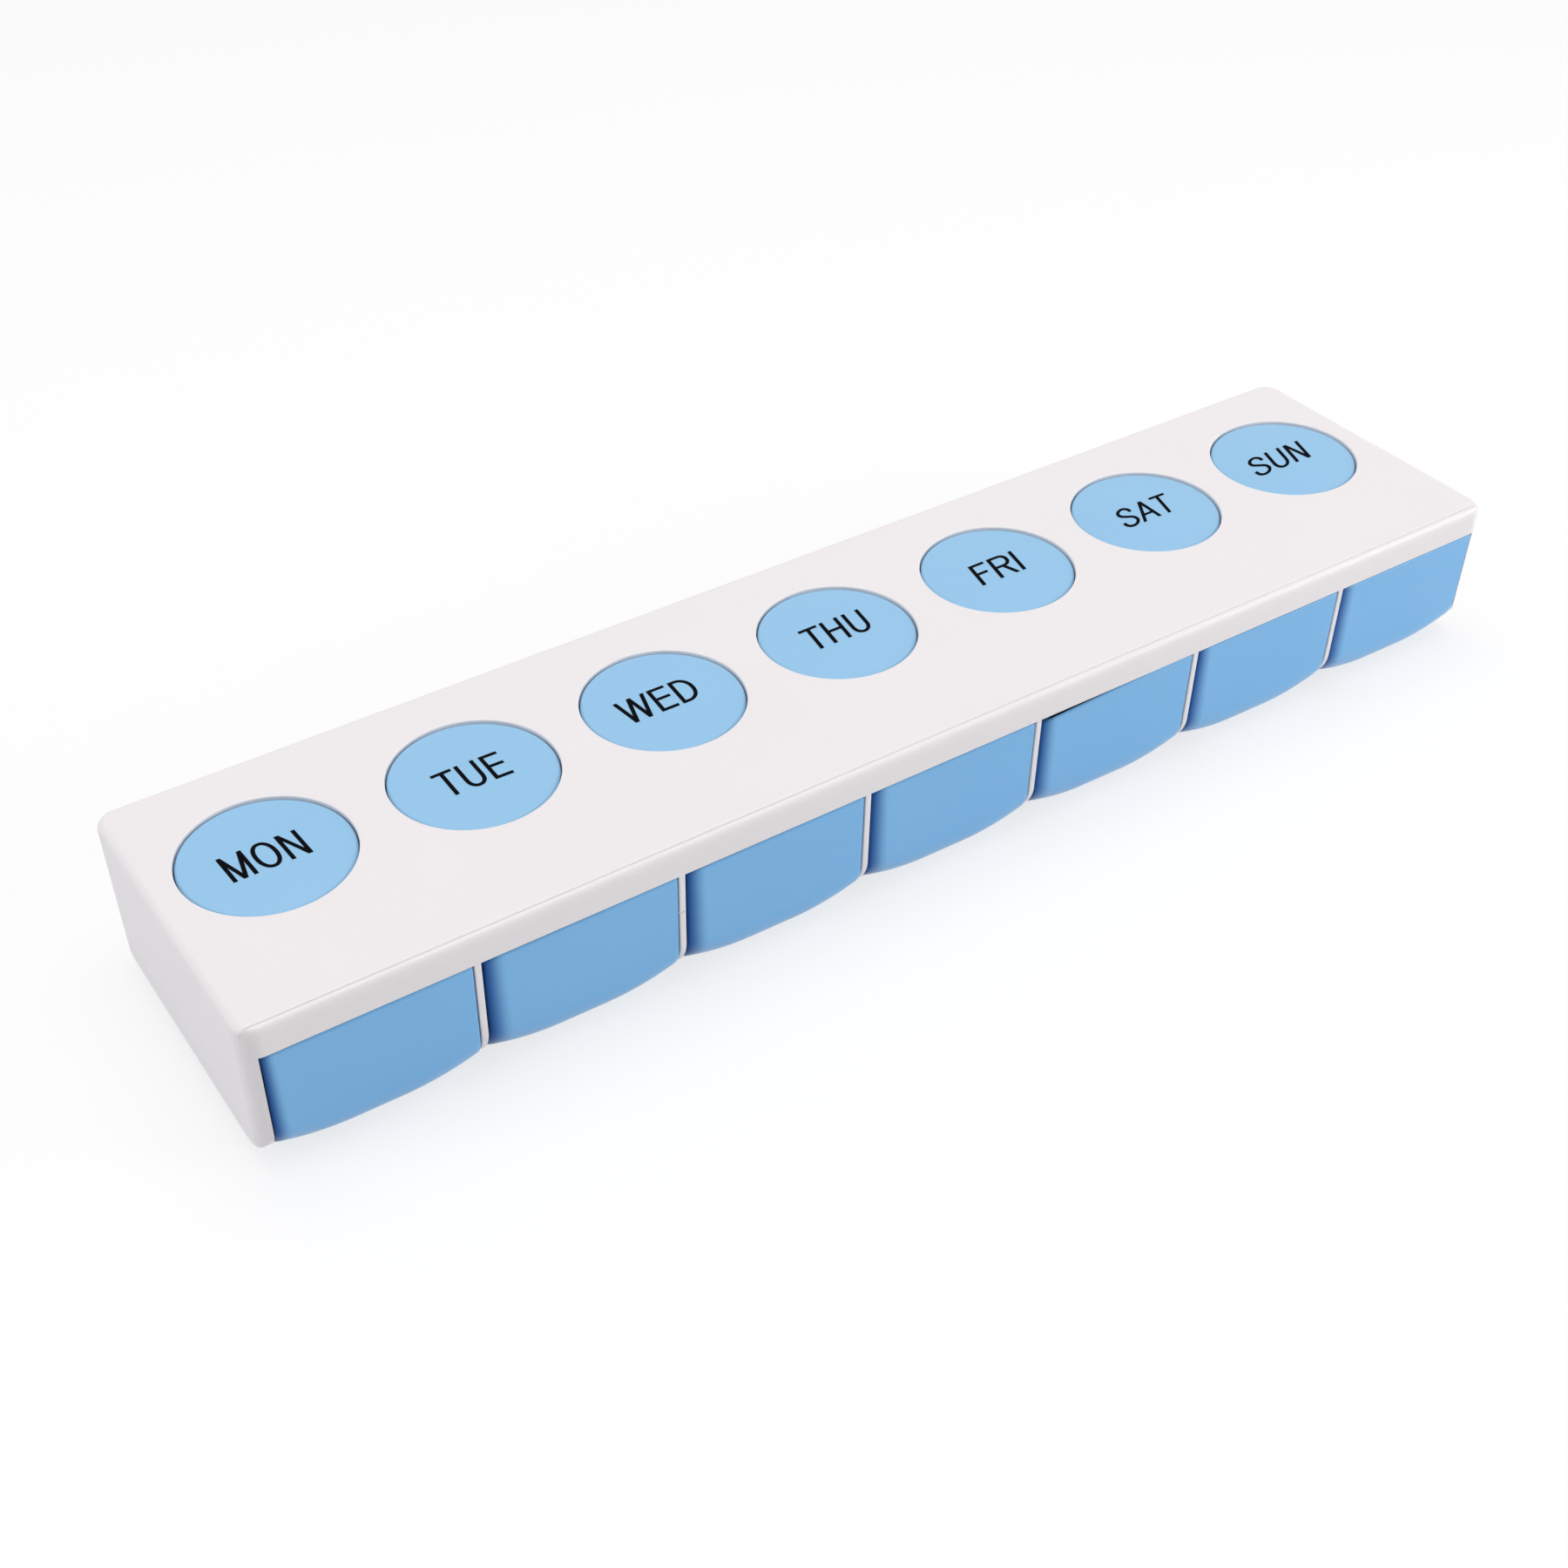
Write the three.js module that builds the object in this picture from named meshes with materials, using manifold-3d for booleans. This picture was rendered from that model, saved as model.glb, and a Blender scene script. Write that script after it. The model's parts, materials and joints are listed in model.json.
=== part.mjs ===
// Weekly pill box: a white case with seven blue push buttons on top and seven blue drawers in front.
// Each button carries a latch leg that holds one drawer. A coil spring behind the drawer pushes it
// out once the button is pressed, and a cone spring under the button lifts it again.
//
// Millimetres. +X runs along the case from Monday to Sunday, -Y is the drawer side, +Z is up.
// The origin is the middle of the case on the surface that it stands on.
import * as THREE from "three";
import { mergeVertices } from "three/addons/utils/BufferGeometryUtils.js";
import Module from "manifold-3d";

const wasm = await Module();
wasm.setup();

// Driving dimensions
const DAYS = ["mon", "tue", "wed", "thu", "fri", "sat", "sun"];
const PITCH = 30.5; // from one day to the next
const DIVIDER = 1.1;
const WALL = 2.0; // end and back walls
const LENGTH = 216;
const COVER = 1.2; // bottom cover
const DEPTH = 50.8;
const HEIGHT = 25.4;
const BELLY = 2.0; // the drawers reach this far below the walls
const LEAN = Math.tan(THREE.MathUtils.degToRad(2)); // the front and back draw in towards the base
const GAP = 0.3; // running clearance
const HAIRLINE = 0.05; // between parts that are screwed together

// Case
const PLATE = 2.0;
const LIP_HEIGHT = 4.7;
const SEAM = 1.25; // thickness of the front frame, which ends at the line across the top
const SEAM_CHAMFER = 0.28;
const FRONT_EDGE = 0.7; // radius of the lip's upper edge
const TOP_EDGE = 1.2; // radius of the other upper edges
const CORNER = 3.0; // radius of the case's four vertical corners
const FRONT_TOE = 6.0; // radius of the walls' lower front corner
const BACK_HEEL = 4.5; // radius of the walls' lower back corner
const LEDGE = 3.0; // depth of the lip under the top plate

// Buttons
const BUTTON_Y = 29.9; // centre line, from the front face
const HOLE_RADIUS = 12.15;
const BUTTON_RADIUS = 11.85;
const BUTTON_RECESS = 0.55;
const BUTTON_CROWN = 0.3;
const BUTTON_FLANGE = 1.25;
const BUTTON_FLANGE_THICKNESS = 0.8;
const BUTTON_TRAVEL = 1.8;
const BUTTON_SIDES = 32;

// Inner plate that carries the button springs
const DECK = 1.2;
const DECK_CLEARANCE = 0.5; // left under a pressed button
const DECK_REACH = 2.6; // in front of the buttons
const STUD_HEIGHT = 0.9;
const HOLD_DOWN_LENGTH = 3.0;

// Drawers
const DRAWER_WIDTH = 28.5;
const DRAWER_EDGE = 0.6; // radius of the upright front edges
const DRAWER_SETBACK = 0.3; // the drawers' fronts lie this far behind the front frame
const DRAWER_TOE = 5.5; // radius of the lower front edge
const DRAWER_LAND = 7.0; // flat strip under the drawer
const DRAWER_WALL = 1.2;
const DRAWER_FLOOR = 1.5;
const DRAWER_FRONT = 1.8;
const DRAWER_DEPTH = 36.4;
const DRAWER_TRAVEL = 25.5;
const HEAD_DEPTH = 6.6; // the front of the drawer has the full width this far back
const DRAWER_TOP_EDGE = 0.6;
const HEAD_STEPS = [9.5, 6.2]; // more places across the drawer where its curved floor has points
const RAIL = 1.2;
const RAIL_TOP = 17.1;
const FLANGE_THICKNESS = 1.0;
const STOP_HEIGHT = 3.6;
const STOP_LENGTH = 1.2;
const LUG_LENGTH = 1.5;
const LUG_REACH = 1.0;

// Latch
const LEG_OFFSET = 11.3; // back of the leg, behind the button's centre
const LEG_WIDTH = 6.0;
const LEG_THICKNESS = 1.0;
const FOOT = 1.2;
const FOOT_REACH = 2.9;
const FOOT_BOTTOM = 10.6;
const TOOTH = 1.0;
const TOOTH_TOP = 13.0;
const CATCH = 1.1;
const CATCH_SLACK = 0.5; // between the catch and the leg

// Springs and screws
const WIRE = 0.5;
const EJECTOR_RADIUS = 2.0; // to the middle of the wire
const EJECTOR_TURNS = 4.5;
const EJECTOR_Z = 5.6;
const RETURN_RADIUS_LOW = 4.0;
const RETURN_RADIUS_HIGH = 3.0;
const RETURN_TURNS = 2.5;
const SCREW_RADIUS = 1.25;
const SCREW_HEAD_RADIUS = 2.4;
const SCREW_HEAD = 1.4;
const SCREW_SLOT = 0.7;
const SCREW_SEAT = 0.9; // wall round a screw head
const BOSS_WALL = 1.6;
const SPRING_ROOM = 7.6; // between a drawer and the wall behind it
const SPRING_PLAY = 0.7; // from the middle of the wire to the peg inside the coil
const SPRING_PEG = 2.2;
const HEAD_SIDES = 16;
const SCREW_COLUMNS = [-2.5, -0.5, 0.5, 2.5]; // in pitches from the middle

// For joining and cutting solids
const OVERLAP = 0.3; // joined solids reach this far into each other
const PAST = 1.0; // a cutting solid reaches this far past what it cuts
const SKIN = 0.02; // the same for a surface that is cut all over

// Places that follow from them
const FRONT = -DEPTH / 2;
const BACK = DEPTH / 2;
const END = LENGTH / 2;
const PLATE_UNDER = HEIGHT - PLATE;
const LIP_BOTTOM = HEIGHT - LIP_HEIGHT;
const SEAM_Y = FRONT + SEAM;
const BUTTON_CENTRE_Y = FRONT + BUTTON_Y;
const BUTTON_FLANGE_TOP = PLATE_UNDER - GAP;
const BUTTON_BOTTOM = BUTTON_FLANGE_TOP - BUTTON_FLANGE_THICKNESS;
const BUTTON_RIM = HEIGHT - BUTTON_RECESS;
const BUTTON_POCKET = BUTTON_RIM - 1.0;
const DECK_TOP = BUTTON_BOTTOM - BUTTON_TRAVEL - DECK_CLEARANCE;
const DECK_BOTTOM = DECK_TOP - DECK;
const DECK_FRONT = BUTTON_CENTRE_Y - BUTTON_RADIUS - DECK_REACH;
const BAY = PITCH - DIVIDER;
const DRAWER_HALF = DRAWER_WIDTH / 2;
const BODY_HALF = DRAWER_HALF - RAIL;
const DRAWER_BACK = FRONT + DRAWER_DEPTH;
const FLANGE_TOP = RAIL_TOP + GAP + FLANGE_THICKNESS;
const DRAWER_TOP = LIP_BOTTOM - GAP;
const LEG_BACK = BUTTON_CENTRE_Y + LEG_OFFSET;
const LEG_FRONT = LEG_BACK - LEG_THICKNESS;
const STOP_TOP = RAIL_TOP - RAIL;
const CROSS_WALL_FRONT = DRAWER_BACK + SPRING_ROOM;
const CROSS_WALL = 1.2;
const SCREW_Y = CROSS_WALL_FRONT + CROSS_WALL / 2;
const COVER_TOP = BELLY + COVER;
const INSIDE = END - WALL;
const SCREW_BASE = COVER_TOP + 1.0; // underside of the screw heads
const SPRING_PEG_RADIUS = EJECTOR_RADIUS - SPRING_PLAY;

// Materials
const white = new THREE.MeshStandardMaterial({ color: 0xf1ecea, roughness: 0.42 });
const blue = new THREE.MeshStandardMaterial({ color: 0x8cc4ee, roughness: 0.38 });
const grey = new THREE.MeshStandardMaterial({ color: 0xd9dadd, roughness: 0.5 });
const steel = new THREE.MeshStandardMaterial({ color: 0xb8bcc2, roughness: 0.3, metalness: 1 });

// Solids

function solidOf(geometry) {
  const bare = geometry.clone();
  bare.deleteAttribute("normal");
  bare.deleteAttribute("uv");
  const merged = mergeVertices(bare, 1e-4);
  return new wasm.Manifold(
    new wasm.Mesh({
      numProp: 3,
      vertProperties: merged.attributes.position.array,
      triVerts: new Uint32Array(merged.index.array),
    }),
  );
}

const join = (...parts) => parts.reduce((sum, part) => sum.add(part));
const cut = (body, ...tools) => tools.reduce((rest, tool) => rest.subtract(tool), body);

function box(x0, x1, y0, y1, z0, z1) {
  const geometry = new THREE.BoxGeometry(x1 - x0, y1 - y0, z1 - z0);
  return solidOf(geometry.translate((x0 + x1) / 2, (y0 + y1) / 2, (z0 + z1) / 2));
}

// An upright cylinder between two heights
function post(x, y, radius, z0, z1, sides = 12) {
  const geometry = new THREE.CylinderGeometry(radius, radius, z1 - z0, sides);
  return solidOf(geometry.rotateX(Math.PI / 2).translate(x, y, (z0 + z1) / 2));
}

// A cylinder along Y
function peg(x, z, radius, y0, y1, sides = 8) {
  const geometry = new THREE.CylinderGeometry(radius, radius, y1 - y0, sides);
  return solidOf(geometry.translate(x, (y0 + y1) / 2, z));
}

function arc(cx, cy, radius, fromDegrees, toDegrees, steps) {
  return Array.from({ length: steps + 1 }, (_, i) => {
    const angle = THREE.MathUtils.degToRad(fromDegrees + ((toDegrees - fromDegrees) * i) / steps);
    return new THREE.Vector2(cx + radius * Math.cos(angle), cy + radius * Math.sin(angle));
  });
}

// Turns a solid made along Z, with its outline in X and Y, to lie along X with that outline in Y and Z
const ALONG_X = new THREE.Matrix4().makeBasis(
  new THREE.Vector3(0, 1, 0),
  new THREE.Vector3(0, 0, 1),
  new THREE.Vector3(1, 0, 0),
);

// An outline in Y and Z, drawn out along X
function prismX(points, x0, x1) {
  const shape = new THREE.Shape(points);
  const geometry = new THREE.ExtrudeGeometry(shape, { depth: x1 - x0, bevelEnabled: false });
  return solidOf(geometry.applyMatrix4(ALONG_X).translate(x0, 0, 0));
}

// A closed skin through outlines with the same number of points, one above the other
function loft(stations) {
  const count = stations[0].ring.length;
  const positions = stations.flatMap(({ at, ring }) => ring.flatMap((p) => [p.x, p.y, at]));
  const faces = [];
  for (let s = 0; s + 1 < stations.length; s++) {
    for (let i = 0; i < count; i++) {
      const a = s * count + i;
      const b = s * count + ((i + 1) % count);
      faces.push(a, b, b + count, a, b + count, a + count);
    }
  }
  const last = (stations.length - 1) * count;
  for (const [a, b, c] of THREE.ShapeUtils.triangulateShape(stations[0].ring, [])) {
    faces.push(a, c, b);
  }
  for (const [a, b, c] of THREE.ShapeUtils.triangulateShape(stations.at(-1).ring, [])) {
    faces.push(last + a, last + b, last + c);
  }
  const geometry = new THREE.BufferGeometry();
  geometry.setAttribute("position", new THREE.Float32BufferAttribute(positions, 3));
  geometry.setIndex(faces);
  return geometry;
}

const loftX = (stations) => solidOf(loft(stations).applyMatrix4(ALONG_X));

// The outline of the case from above at height z, drawn in by inset. It reaches a little past the
// front and back, which are cut to their final shape afterwards.
function planOutline(z, inset, steps = 4) {
  const r = CORNER - inset;
  const x = END - inset - r;
  const low = frontAt(z) - SKIN + inset + r;
  const high = backAt(z) + SKIN - inset - r;
  return [
    ...arc(x, low, r, -90, 0, steps),
    ...arc(x, high, r, 0, 90, steps),
    ...arc(-x, high, r, 90, 180, steps),
    ...arc(-x, low, r, 180, 270, steps),
  ];
}

// Round wire along a coil. The radius may change along it, which makes a cone spring.
function coil(length, turns, radiusLow, radiusHigh, stepsPerTurn = 8, sides = 4) {
  const steps = Math.round(turns * stepsPerTurn);
  const positions = [];
  for (let s = 0; s <= steps; s++) {
    const share = s / steps;
    const angle = share * turns * 2 * Math.PI;
    const radius = THREE.MathUtils.lerp(radiusLow, radiusHigh, share);
    const height = WIRE / 2 + share * (length - WIRE);
    for (let i = 0; i < sides; i++) {
      const around = ((i + 0.5) / sides) * 2 * Math.PI;
      const out = radius + (WIRE / 2) * Math.cos(around);
      positions.push(
        out * Math.cos(angle),
        out * Math.sin(angle),
        height + (WIRE / 2) * Math.sin(around),
      );
    }
  }
  const faces = [];
  for (let s = 0; s < steps; s++) {
    for (let i = 0; i < sides; i++) {
      const a = s * sides + i;
      const b = s * sides + ((i + 1) % sides);
      faces.push(a, b + sides, b, a, a + sides, b + sides);
    }
  }
  const end = steps * sides;
  for (let i = 1; i + 1 < sides; i++) {
    faces.push(0, i, i + 1, end, end + i + 1, end + i);
  }
  const geometry = new THREE.BufferGeometry();
  geometry.setAttribute("position", new THREE.Float32BufferAttribute(positions, 3));
  geometry.setIndex(faces);
  return geometry;
}

function named(name, solid, material) {
  const { vertProperties, triVerts } = solid.getMesh();
  const geometry = new THREE.BufferGeometry();
  geometry.setAttribute("position", new THREE.BufferAttribute(vertProperties, 3));
  geometry.setIndex(new THREE.BufferAttribute(triVerts, 1));
  geometry.computeVertexNormals();
  const mesh = new THREE.Mesh(geometry, material.clone());
  mesh.name = name;
  return mesh;
}

// Outlines

const frontAt = (z) => FRONT + LEAN * (HEIGHT - z);
const backAt = (z) => BACK - LEAN * (HEIGHT - z);

// The outline of the walls, seen along X
function wallOutline(top) {
  const toeZ = BELLY + FRONT_TOE;
  const heelZ = BELLY + BACK_HEEL;
  return [
    new THREE.Vector2(frontAt(top), top),
    ...arc(frontAt(toeZ) + FRONT_TOE, toeZ, FRONT_TOE, 182, 270, 5),
    ...arc(backAt(heelZ) - BACK_HEEL, heelZ, BACK_HEEL, 270, 358, 4),
    new THREE.Vector2(backAt(top), top),
  ];
}

// Height of a drawer's underside at a distance x from its middle
function bellyAt(x) {
  const beyond = Math.max(0, Math.abs(x) - DRAWER_LAND / 2);
  return BELLY * (beyond / (BAY / 2 - DRAWER_LAND / 2)) ** 2;
}

// Case parts

const bayCentres = DAYS.map((_, i) => (i - (DAYS.length - 1) / 2) * PITCH);
const dividerCentres = bayCentres.slice(1).map((x) => x - PITCH / 2);
const screwCentres = SCREW_COLUMNS.map((column) => column * PITCH);

// The whole outer form with a rounded rim on top
function caseBlock(rim) {
  const rimStations = [0, 30, 60, 90].map((degrees) => {
    const angle = THREE.MathUtils.degToRad(degrees);
    const at = HEIGHT - rim * (1 - Math.sin(angle));
    return { at, ring: planOutline(at, rim * (1 - Math.cos(angle))) };
  });
  const base = { at: BELLY, ring: planOutline(BELLY, 0) };
  const sides = prismX(wallOutline(HEIGHT + PAST), -END - PAST, END + PAST);
  return solidOf(loft([base, ...rimStations])).intersect(sides);
}

// Everything behind the front frame, which has the same thickness down to its rounded lower end
function behindFrame(clearance) {
  const toeY = frontAt(BELLY + FRONT_TOE) + FRONT_TOE;
  const outline = [
    new THREE.Vector2(frontAt(HEIGHT + PAST) + SEAM + clearance, HEIGHT + PAST),
    ...arc(toeY, BELLY + FRONT_TOE, FRONT_TOE - SEAM - clearance, 182, 270, 5),
    new THREE.Vector2(toeY + clearance, BELLY + SEAM + clearance),
    new THREE.Vector2(toeY + clearance, BELLY - PAST),
    new THREE.Vector2(BACK + PAST, BELLY - PAST),
    new THREE.Vector2(BACK + PAST, HEIGHT + PAST),
  ];
  return prismX(outline, -END - PAST, END + PAST);
}

// A sloped cut along the seam. Its outline runs from the top surface at y down to the seam's side.
function seamChamfer(y, side) {
  const top = HEIGHT + HAIRLINE;
  const low = HEIGHT - SEAM_CHAMFER;
  const outline = [
    new THREE.Vector2(y + side * SEAM_CHAMFER, top),
    new THREE.Vector2(y - side * PAST, top),
    new THREE.Vector2(y - side * PAST, low),
    new THREE.Vector2(y, low),
  ];
  return prismX(side > 0 ? outline : outline.reverse(), -END - PAST, END + PAST);
}

// A rail and a drawer stop on the wall at x, on the side that direction points to
function railAt(x, direction) {
  const x0 = direction > 0 ? x - OVERLAP : x - RAIL;
  const x1 = direction > 0 ? x + RAIL : x + OVERLAP;
  const railFront = FRONT + HEAD_DEPTH + GAP;
  const stopBack = DRAWER_BACK - LUG_LENGTH - DRAWER_TRAVEL - GAP;
  return join(
    box(x0, x1, railFront, DRAWER_BACK - PAST, STOP_TOP, RAIL_TOP),
    box(x0, x1, stopBack - STOP_LENGTH, stopBack, STOP_TOP - STOP_HEIGHT, STOP_TOP + OVERLAP),
  );
}

function makeTopShell() {
  const block = caseBlock(TOP_EDGE).intersect(behindFrame(HAIRLINE));
  const hollow = prismX(
    [
      new THREE.Vector2(FRONT - PAST, BELLY - PAST),
      new THREE.Vector2(backAt(BELLY - PAST) - WALL, BELLY - PAST),
      new THREE.Vector2(backAt(PLATE_UNDER) - WALL, PLATE_UNDER),
      new THREE.Vector2(FRONT - PAST, PLATE_UNDER),
    ],
    -INSIDE,
    INSIDE,
  );
  const holes = bayCentres.map((x) =>
    post(x, BUTTON_CENTRE_Y, HOLE_RADIUS, PLATE_UNDER - PAST, HEIGHT + PAST, BUTTON_SIDES),
  );
  const bosses = screwCentres.map((x) =>
    cut(
      post(x, SCREW_Y, SCREW_RADIUS + BOSS_WALL, DECK_TOP + HAIRLINE, PLATE_UNDER + OVERLAP),
      post(x, SCREW_Y, SCREW_RADIUS + HAIRLINE, DECK_TOP - PAST, PLATE_UNDER - OVERLAP),
    ),
  );
  const holdDowns = dividerCentres.map((x) =>
    box(
      x - DIVIDER / 2, x + DIVIDER / 2, DECK_FRONT + GAP, DECK_FRONT + GAP + HOLD_DOWN_LENGTH,
      DECK_TOP + HAIRLINE, PLATE_UNDER + OVERLAP,
    ),
  );
  const rails = [railAt(-INSIDE, 1), railAt(INSIDE, -1)];
  const shell = cut(block, hollow, seamChamfer(SEAM_Y + HAIRLINE, 1), ...holes);
  return join(shell, ...bosses, ...holdDowns, ...rails);
}

function makeDividerFrame() {
  // The lip and an upright strip at each end
  const opening = box(-INSIDE, INSIDE, FRONT - PAST, BACK, BELLY - PAST, LIP_BOTTOM);
  const rimmed = cut(caseBlock(FRONT_EDGE), behindFrame(0), opening);
  const side = INSIDE - HAIRLINE;
  const under = PLATE_UNDER - HAIRLINE;
  const ledge = box(-side, side, SEAM_Y - OVERLAP, FRONT + LEDGE, LIP_BOTTOM, under);
  const roomForDeck = box(
    -DIVIDER, DIVIDER, DECK_FRONT - GAP, BACK + PAST, DECK_BOTTOM - GAP, HEIGHT,
  );
  const roomForCover = box(
    -DIVIDER, DIVIDER, DRAWER_BACK + PAST / 2, BACK + PAST, BELLY - PAST, COVER_TOP + HAIRLINE,
  );
  const behindCrossWall = box(
    -DIVIDER, DIVIDER, CROSS_WALL_FRONT + OVERLAP, BACK + PAST, BELLY - PAST, HEIGHT,
  );
  const divider = cut(
    prismX(wallOutline(under), -DIVIDER / 2, DIVIDER / 2),
    roomForDeck,
    roomForCover,
    behindCrossWall,
  );
  const dividers = dividerCentres.map((x) => divider.translate([x, 0, 0]));
  const rails = dividerCentres.flatMap((x) => [
    railAt(x - DIVIDER / 2, -1),
    railAt(x + DIVIDER / 2, 1),
  ]);
  const crossWall = box(
    -side, side, CROSS_WALL_FRONT, CROSS_WALL_FRONT + CROSS_WALL,
    COVER_TOP + HAIRLINE, DECK_BOTTOM - GAP,
  );
  const springPegs = bayCentres.map((x) =>
    peg(x, EJECTOR_Z, SPRING_PEG_RADIUS, CROSS_WALL_FRONT - SPRING_PEG, CROSS_WALL_FRONT + OVERLAP),
  );
  const blockRadius = SCREW_HEAD_RADIUS + SCREW_SEAT;
  const blocks = screwCentres.map((x) =>
    post(x, SCREW_Y, blockRadius, COVER_TOP + HAIRLINE, DECK_BOTTOM - HAIRLINE, HEAD_SIDES),
  );
  const bores = screwCentres.flatMap((x) => [
    post(x, SCREW_Y, SCREW_RADIUS + GAP, BELLY, DECK_TOP),
    post(x, SCREW_Y, SCREW_HEAD_RADIUS + GAP, BELLY, SCREW_BASE, HEAD_SIDES),
  ]);
  return cut(
    join(
      cut(rimmed, seamChamfer(SEAM_Y, -1)),
      ledge, ...dividers, ...rails, crossWall, ...springPegs, ...blocks,
    ),
    ...bores,
  );
}

function makeSpringDeck() {
  const side = INSIDE - GAP;
  const plate = box(-side, side, DECK_FRONT, backAt(DECK_TOP) - WALL - GAP, DECK_BOTTOM, DECK_TOP);
  const slots = bayCentres.map((x) =>
    box(
      x - LEG_WIDTH / 2 - GAP, x + LEG_WIDTH / 2 + GAP,
      LEG_FRONT - FOOT_REACH - GAP, LEG_BACK + GAP, DECK_BOTTOM - PAST, DECK_TOP + PAST,
    ),
  );
  const bores = screwCentres.map((x) =>
    post(x, SCREW_Y, SCREW_RADIUS + GAP, DECK_BOTTOM - PAST, DECK_TOP + PAST),
  );
  const studRadius = RETURN_RADIUS_HIGH - SPRING_PLAY;
  const studs = bayCentres.map((x) =>
    post(x, BUTTON_CENTRE_Y, studRadius, DECK_TOP - OVERLAP, DECK_TOP + STUD_HEIGHT),
  );
  return cut(join(plate, ...studs), ...slots, ...bores);
}

function makeBottomCover() {
  const side = INSIDE - GAP;
  const coverFront = DRAWER_BACK + PAST;
  const plate = box(-side, side, coverFront, backAt(BELLY) - WALL - GAP, BELLY, COVER_TOP);
  const bores = screwCentres.map((x) =>
    post(x, SCREW_Y, SCREW_HEAD_RADIUS + GAP, BELLY - PAST, COVER_TOP + PAST, HEAD_SIDES),
  );
  return cut(plate, ...bores);
}

function makeScrew() {
  const headTop = SCREW_BASE - HAIRLINE;
  const headBottom = headTop - SCREW_HEAD;
  const shank = post(0, 0, SCREW_RADIUS - HAIRLINE, headTop - OVERLAP, PLATE_UNDER - 2 * OVERLAP);
  const head = post(0, 0, SCREW_HEAD_RADIUS, headBottom, headTop, HEAD_SIDES);
  const low = headBottom - PAST;
  const high = headBottom + SCREW_SLOT;
  const long = SCREW_HEAD_RADIUS * 0.55;
  const narrow = SCREW_HEAD_RADIUS * 0.13;
  const cross = join(
    box(-long, long, -narrow, narrow, low, high),
    box(-narrow, narrow, -long, long, low, high),
  );
  return cut(join(shank, head), cross);
}

// Moving parts. Each is drawn at X = 0.

function makeButton() {
  const flangeRadius = BUTTON_RADIUS + BUTTON_FLANGE;
  const pocketRadius = RETURN_RADIUS_LOW + 0.8;
  const edge = 0.45;
  const outline = [
    [0, BUTTON_POCKET],
    [pocketRadius, BUTTON_POCKET],
    [pocketRadius, BUTTON_BOTTOM],
    [flangeRadius, BUTTON_BOTTOM],
    [flangeRadius, BUTTON_FLANGE_TOP],
    [BUTTON_RADIUS, BUTTON_FLANGE_TOP],
    [BUTTON_RADIUS, BUTTON_RIM - edge],
    [BUTTON_RADIUS - edge, BUTTON_RIM],
    [BUTTON_RADIUS * 0.55, BUTTON_RIM + BUTTON_CROWN * 0.7],
    [0, BUTTON_RIM + BUTTON_CROWN],
  ].map(([radius, height]) => new THREE.Vector2(radius, height));
  const lathe = new THREE.LatheGeometry(outline, BUTTON_SIDES);
  const cap = solidOf(lathe.rotateX(Math.PI / 2).translate(0, BUTTON_CENTRE_Y, 0));
  const half = LEG_WIDTH / 2;
  const leg = box(-half, half, LEG_FRONT, LEG_BACK, FOOT_BOTTOM, BUTTON_BOTTOM + OVERLAP);
  const footTop = FOOT_BOTTOM + FOOT;
  const toothFront = LEG_FRONT - FOOT_REACH;
  const foot = box(-half, half, toothFront, LEG_FRONT + OVERLAP, FOOT_BOTTOM, footTop);
  const tooth = prismX(
    [
      new THREE.Vector2(toothFront, footTop - OVERLAP),
      new THREE.Vector2(toothFront + TOOTH, footTop - OVERLAP),
      new THREE.Vector2(toothFront + TOOTH, TOOTH_TOP),
      new THREE.Vector2(toothFront + TOOTH / 2, TOOTH_TOP),
    ],
    -half,
    half,
  );
  return join(cap, leg, foot, tooth);
}

// The front part of a drawer cut across at x. Towards its upright edges the outline draws in by inset.
function drawerRing(x, inset) {
  const base = bellyAt(x);
  const toeZ = base + DRAWER_TOE;
  const front = (z) => frontAt(z) + DRAWER_SETBACK + inset;
  const panelBack = FRONT + DRAWER_FRONT + DRAWER_TOP_EDGE;
  const headBack = FRONT + HEAD_DEPTH;
  const toe = arc(front(toeZ) + DRAWER_TOE - inset, toeZ, DRAWER_TOE - inset, 182, 270, 4);
  return [
    new THREE.Vector2(front(DRAWER_TOP) + DRAWER_TOP_EDGE, DRAWER_TOP),
    new THREE.Vector2(front(DRAWER_TOP - DRAWER_TOP_EDGE), DRAWER_TOP - DRAWER_TOP_EDGE),
    ...toe.map((p) => new THREE.Vector2(p.x, Math.max(p.y - inset, base))),
    new THREE.Vector2(headBack, base),
    new THREE.Vector2(headBack, FLANGE_TOP),
    new THREE.Vector2(panelBack, FLANGE_TOP),
    new THREE.Vector2(panelBack, DRAWER_TOP),
  ];
}

// Places from one side of the drawer to the other, with points where its floor bends
function across(half) {
  const places = [half, ...HEAD_STEPS, DRAWER_LAND / 2];
  return [...places.map((x) => -x), ...places.toReversed()];
}

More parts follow.
